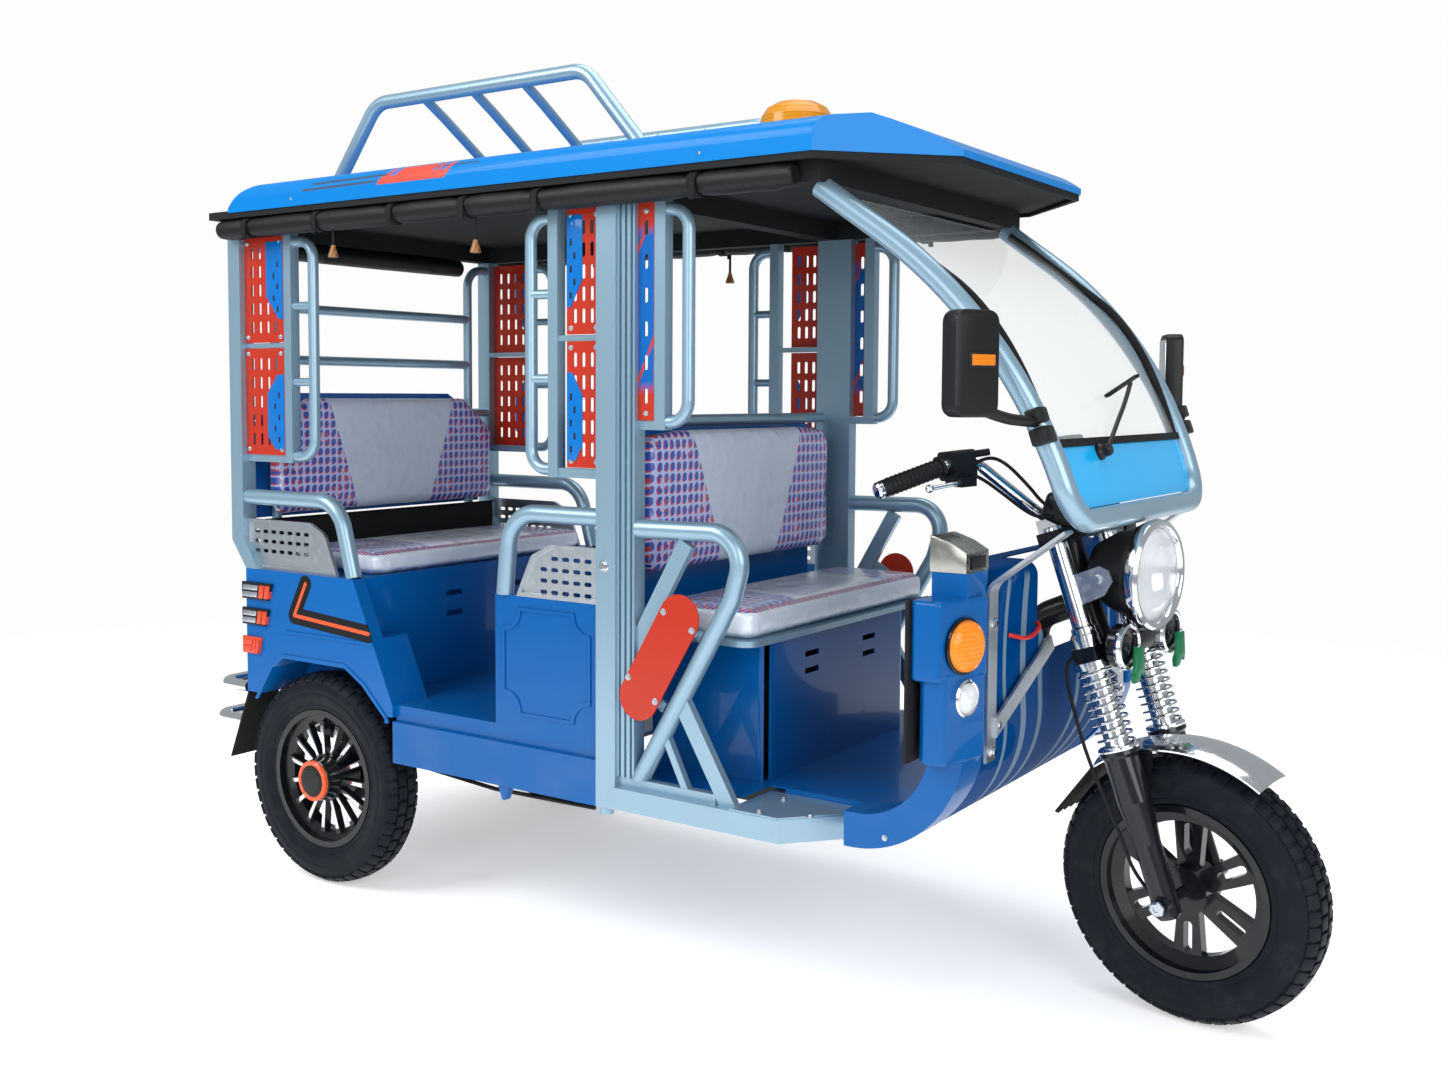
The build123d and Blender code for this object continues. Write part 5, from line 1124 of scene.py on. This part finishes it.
# where each bar begins and ends along its block, its finish, and its rows up the block
BARS = ((0.03, 0.56, "silver_plate", ((-0.014, -0.001), (0.003, 0.016))),
        (0.62, 0.78, "bar_red", ((-0.015, 0.017),)), (0.82, 0.97, "bar_red", ((-0.015, 0.017),)))
face = at(0, -0.4655, 0, OUT, (1, 0, 0))
blocks = []
for z, length, dark, pale in ((0.694, 0.104, "black_plastic", "silver_plate"),
                              (0.630, 0.092, "black_plastic", "silver_plate"), (0.558, 0.062, "bar_red", "bar_red")):
    base = [(REAR_X, z - 0.020), (REAR_X + length - 0.008, z - 0.020), (REAR_X + length + 0.008, z + 0.022),
            (REAR_X, z + 0.022)]
    blocks.append(slab("lamp_block", [(x * 1000, b * 1000) for x, b in base], 8.5, face, dark, 2))
    blocks.append(brick("lamp_wrap", (8, 76, 40), at(REAR_X + 0.004, -0.432, z + 0.001), dark, 2))
    for first, last, finish, rows in BARS:
        a, b = REAR_X + length * first, REAR_X + length * last
        for low, high in rows:
            bar = [(a + LEAN * (low + 0.02), z + low), (b + LEAN * (low + 0.02), z + low),
                   (b + LEAN * (high + 0.02), z + high), (a + LEAN * (high + 0.02), z + high)]
            blocks.append(slab("bar", [(x * 1000, c * 1000) for x, c in bar], 11.5, face,
                               pale if finish == "silver_plate" else finish, 1.5))
lamps = join(blocks, "rear_lamp_bars")
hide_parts("tail_lamps")
pair(lamps)
print("rear lamps built")

# %% [markdown]
# A mirror is a deep black housing on a bent neck, with glass set in behind and an amber reflector in a
# small frame in front. The housing is a block whose four corners, seen from the front, are rounded first,
# so that its other edges can then be eased all round.

# %% Mirrors
mirror_glass = Finish("mirror_glass", (0.82, 0.84, 0.86), 0.03, Metallic=1.0)
mirror_glass.bump(mirror_glass.noise(3, 1), 0.02, 0.001)
HEAD = Matrix.Translation((0.832, -0.548, 1.236)) @ Matrix.Rotation(-radians(26), 4, "Z")


def on_head(x, y, z):
    """A place in the mirror head's own frame, whose local x looks forward."""
    return HEAD @ Matrix.Translation((x, y, z)) @ Matrix.Scale(MM, 4)


def rounded(piece):
    pick(piece, lambda c, e: abs(c.x) < 1 and (abs(abs(c.y) - 47) < 1 or abs(abs(c.z) - 88) < 1), "EDGE")
    bpy.ops.mesh.bevel(offset=20, segments=5)
    only(piece)


ALONG_TUBE = (-0.32, 0, 0.95), (0.95, 0, 0.32)
mirror = join([
    brick("mirror_housing", (38, 94, 176), on_head(0, 0, 0), "black_plastic", 6, rounded),
    pipe("mirror_neck", [(0.842, -0.520, 1.160), (0.868, -0.490, 1.146), (0.886, -0.455, 1.142),
                         (0.893, -0.418, 1.140)], 0.020, "black_plastic"),
    brick("mirror_clamp", (30, 36, 26), at(0.893, -0.409, 1.150, *ALONG_TUBE), "black_plastic", 4),
    brick("mirror_clamp", (34, 40, 30), at(0.902, -0.404, 1.116, *ALONG_TUBE), "black_plastic", 4)], "mirror_body")
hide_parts("mirrors")
pair(mirror)
for name, size, place, finish, edge in (
        ("mirror_glass", (3, 80, 150), on_head(-0.0188, 0, 0), "mirror_glass", 1),
        ("mirror_reflector_frame", (4, 58, 26), on_head(0.0185, 0.010, 0.006), "black_plastic", 1.2),
        ("mirror_reflector", (4, 48, 18), on_head(0.0205, 0.010, 0.006), "amber", 1.2)):
    pair(brick(name, size, place, finish, edge))
print("mirrors built")

# %% [markdown]
# The wiper is an arm with a blade that lies on the screen's plane, so its places are the screen's
# normal times a small lift. A rubber strip covers the joint between the glass and the blue pane, and a
# gasket follows the bent tube.

# %% Wiper, screen strip and gasket
SLOPE = 0.3235  # how far the screen leans back for each step up
SCREEN = Vector((1, 0, SLOPE)).normalized()
lift = SCREEN * 0.010
pivot = Vector((0.911, -0.150, 1.081))
arm_foot, arm_tip = pivot + lift * 1.8, Vector((0.871, 0.098, 1.205)) + lift * 1.6
low, high = Vector((0.878, -0.041, 1.182)), Vector((0.865, 0.175, 1.223))
length = (high - low).length * 1000


def on_blade(gap):
    """The middle of the blade, lifted off the screen, with local y along it."""
    return at(*(low + high) / 2 + lift * gap, SCREEN, SCREEN.cross(high - low))


arm = [lathe("wiper_hub", [(0, 0), (16, 0), (16, 6), (12, 12), (12, 22), (8, 26), (0, 26)], at(*pivot, SCREEN),
             "black_plastic", 28),
       pipe("wiper_arm", [arm_foot, arm_foot.lerp(arm_tip, 0.35), arm_foot.lerp(arm_tip, 0.7) + lift * 0.3, arm_tip],
            0.009, "black_plastic"),
       brick("wiper_blade", (7, length, 12), on_blade(0.95), "rubber", 2),
       brick("wiper_spine", (4, length * 0.62, 4), on_blade(1.65), "black_plastic", 1)]
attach(join(arm, "wiper"), "chassis")
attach(brick("screen_strip", (4, 724, 15), at(0.9065, 0, 1.1015, (-SLOPE, 0, 1), (1, 0, SLOPE)), "rubber", 1.5),
        "chassis")
pair(pipe("screen_gasket", [(0.500, -0.405, 1.549), (0.604, -0.394, 1.476), (0.829, -0.373, 1.311),
                            (0.898, -0.352, 1.098)], 0.017, "rubber", 16))
print("wiper and screen edges built")

# %% [markdown]
# The side curtains are rolled up. The roll is a lathed bar whose outline swells between the straps, as
# rolled cloth does, and a displacement leaves soft folds in it. The rear curtain is one shorter roll.

# %% Curtain rolls
ROLL_Y, ROLL_Z = -0.490, 1.580
TIES = (-1.064, -0.813, -0.567, -0.349, -0.145, 0.245)
SWELL = ((0.04, 20.5), (0.14, 23.4), (0.35, 24.6), (0.55, 23.8), (0.8, 24.4), (0.96, 20.5))
marks = [-1.174, *TIES, 0.461]
roll = [(0, -1174), (17, -1174), (21, -1170)]
roll += [(r, (a + (b - a) * t) * 1000) for a, b in zip(marks, marks[1:]) for t, r in SWELL]
roll += [(21, 458), (17, 461), (0, 461)]
bundle = lathe("curtain_roll", roll, at(0, ROLL_Y, ROLL_Z, (1, 0, 0)), "curtain", 36)
sag = bundle.modifiers.new("sag", "DISPLACE")
sag.texture = bpy.data.textures.new("folds", "CLOUDS")
sag.texture.noise_scale = 0.09
sag.texture_coords = "OBJECT"
sag.strength = 0.006
only(bundle)
bpy.ops.object.modifier_apply(modifier="sag")
half = [(0, 325), (19, 325), (23, 320), (24, 200), (22.5, 195), (24, 190)]
rear_roll = lathe("curtain_roll_rear", [(r, -z) for r, z in half] + [(24.5, 0)] + half[::-1],
                  at(-1.162, 0, 1.546, (0, 1, 0)), "curtain", 36)
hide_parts("rolled_curtains")
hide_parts("rolled_curtains")
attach(rear_roll, "chassis")
pair(bundle)
print("curtains rolled")

# %% [markdown]
# Straps hold the rolls, and two narrow ones more hang down on each side to a small turned wooden
# toggle. The wood's grain is a wave pattern, bent by its distortion.

# %% Curtain ties
wood = Finish("wood", (0.34, 0.15, 0.05), 0.45)
grain = wood.node("TexWave", Vector=wood.place, Scale=60.0, Distortion=4.0)
wood.set("Base Color", wood.mix(grain, (0.20, 0.08, 0.03), (0.42, 0.20, 0.07)))
ties = [lathe("tie", [(21, -9), (24.6, -9), (25.4, -8), (25.4, 8), (24.6, 9), (21, 9)],
              at(x, ROLL_Y, ROLL_Z, (1, 0, 0)), "rubber", 32, True) for x in TIES]
ties += [brick("tie_end", (13, 3, 34), at(x + 0.004, -0.5145, 1.566), "rubber", 1) for x in TIES]
STRAP_TOP = 1.560
for x, low in ((-0.771, 1.513), (-0.326, 1.500)):
    ties.append(brick("toggle_strap", (7, 2.2, (STRAP_TOP - low) * 1000), at(x, ROLL_Y, (STRAP_TOP + low) / 2),
                      "rubber", 0.7))
    ties.append(lathe("toggle", [(0, -18), (11, -18), (12, -15), (8, -3), (5, 6), (5.5, 9), (0, 10)],
                      at(x, ROLL_Y, low), "wood", 20))
pair(join(ties, "curtain_ties"))
print("curtains tied with", len(TIES), "straps a side")

# %% [markdown]
# Grips are ribbed rubber with plated ends. Each rib is one small lathed ring, set along the line of
# the grip, and the end cap closes it.

# %% Grips
ribs = []
for sign in (-1, 1):
    inner, outer = Vector((0.674, sign * 0.256, 1.060)), Vector((0.620, sign * 0.368, 1.026))
    ribs += [lathe("rib", [(16, -2.2), (17.8, -1.6), (18.2, 0), (17.8, 1.6), (16, 2.2)],
                   PARKED @ at(*inner.lerp(outer, 0.12 + k * 0.075), outer - inner), "rubber", 28, True)
             for k in range(11)]
    end = lathe("grip_end", [(0, -2), (15, -2), (16.5, 1), (16.5, 9), (13, 13), (6, 14), (0, 14)],
                PARKED @ at(*outer, outer - inner), "chrome", 32)
    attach(end, "fork")
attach(join(ribs, "grip_ribs"), "fork")
print("grips ribbed")

# %% [markdown]
# The cables are cords: four run from the switch boxes to the housing behind the lamp, and one
# runs down the right leg to the hub. A short run of red wire shows in front of the nose. Each follows
# the same route as its CAD solid. Each cord's length is measured on a copy of the curve that has no
# thickness, and printed.

# %% Cords
rubber("cable_sleeve", (0.010, 0.010, 0.011), 0.5)
paint("wire_red", (0.62, 0.02, 0.015), 0.4, 0, 0.3, 0.0)


def curve_length(curve):
    ghost = curve.copy()
    ghost.data = curve.data.copy()
    ghost.data.bevel_depth = 0
    bpy.context.scene.collection.objects.link(ghost)
    only(ghost)
    bpy.ops.object.convert(target="MESH")
    mesh = bpy.context.object.data
    length = sum((mesh.vertices[e.vertices[0]].co - mesh.vertices[e.vertices[1]].co).length for e in mesh.edges)
    bpy.data.objects.remove(bpy.context.object)
    return length


def cable(name, points, diameter, node, body, finish):
    """A cord that leaves the vehicle at its first point and goes back into it at its last."""
    piece = curved(name, points, diameter, 4, 12)
    piece.data.materials.append(FINISH[finish].material)
    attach(piece, body)
    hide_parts(node)
    length = curve_length(piece)
    print(name, round(length, 3), "m")


def measured(x, y, z):
    """A point in millimetres forward from the rear axle, in metres from the origin."""
    return (x * MM - REAR_AXLE, y * MM, z * MM)


LEG = [(-0.5, -110.2, 475), (-12, -116, 470), (-17, -128, 440), (-16, -138, 360), (-14, -140, 280),
       (-6, -134, 200), (-4, -122, 120), (-10, -108, 62), (4.5, -98, 22)]
cable("leg_cable", [forked(*p).translation for p in LEG], 0.007, "fork_cables", "fork", "cable_sleeve")
LOWER = [(1569.5, -186.5, 1043), (1580, -168, 1036), (1602, -128, 1004), (1640, -94, 962), (1668, -84, 952),
         (1684, -74.8, 955)]
UPPER = [(1585.6, -192.6, 1064), (1594, -165, 1076), (1612, -130, 1064), (1644, -94, 1014), (1668, -86, 982),
         (1680, -74.8, 972)]
for name, run in (("lower", LOWER), ("upper", UPPER)):
    for side, sign in (("right", 1), ("left", -1)):
        cable(name + "_bar_cable_" + side, [PARKED @ Vector(measured(x, y * sign, z)) for x, y, z in run],
              0.007, "fork_cables", "fork", "cable_sleeve")
WIRE = [(1665.5, -268, 746), (1678, -262, 743), (1680, -215, 733), (1680, -170, 738), (1677, -140, 749),
        (1665.5, -132, 752)]
cable("red_wire_run", [measured(*p) for p in WIRE], 0.008, "red_wire", "chassis", "wire_red")

# %% [markdown]
# Two plain sheets close what lies behind the seats: a black one below the rear backrest, whose black
# is painted shade in the gap there, and a blue one below the driver's. Each is a thin sheet with a
# folded lip along its upper edge, made by extruding the edge forward.

# %% Sheets behind the seats
def folded(name, x, half, z0, z1, finish):
    sheet = start("cube", name, size=1)
    bpy.ops.transform.resize(value=(2.5, half * 2000, (z1 - z0) * 1000))
    bpy.ops.object.transform_apply(location=False, rotation=False, scale=True)
    pick(sheet, lambda c, f: f.normal.z > 0.9)
    bpy.ops.mesh.extrude_region_move(TRANSFORM_OT_translate={"value": (0, 0, 2.5)})
    pick(sheet, lambda c, f: f.normal.x > 0.9 and c.z > (z1 - z0) * 500)
    bpy.ops.mesh.extrude_region_move(TRANSFORM_OT_translate={"value": (9, 0, 0)})
    pick(sheet, lambda c, e: True, "EDGE")
    bpy.ops.mesh.bevel(offset=0.5, segments=1)
    settle(sheet, at(x, 0, (z0 + z1) / 2), finish)
    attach(sheet, "chassis")


# The rear sheet is black as painted shade in the gap below the rear backrest.
folded("rear_shade_sheet", -1.128, 0.424, 0.752, 0.865, "dark_lining_and_shade")
folded("driver_gap_sheet", -0.0265, 0.400, 0.600, 0.808, "body_blue")
print("sheets behind the seats")

# %% [markdown]
# The floor is pale and fades out into the white behind it, so no horizon shows. A little light of
# its own keeps it bright, and the vehicle's soft shadow still falls on it.

# %% Floor
clear()
bpy.ops.mesh.primitive_circle_add(vertices=64, radius=7, fill_type="NGON", location=(0, 0, 0))
floor = bpy.context.object
floor.name = "floor"
ground = Finish("ground", (0.95, 0.95, 0.95), 0.95, Specular_IOR_Level=0.0, Emission_Color=(1, 1, 1, 1),
                Emission_Strength=0.42)
reach = (ground.x * ground.x + ground.y * ground.y).root()
ground.set("Alpha", ground.range(reach, 2.2, 5.5, 1.0, 0.0))
ground.bump(ground.noise(4, 2), 0.02, 0.01)
floor.data.materials.append(ground.material)
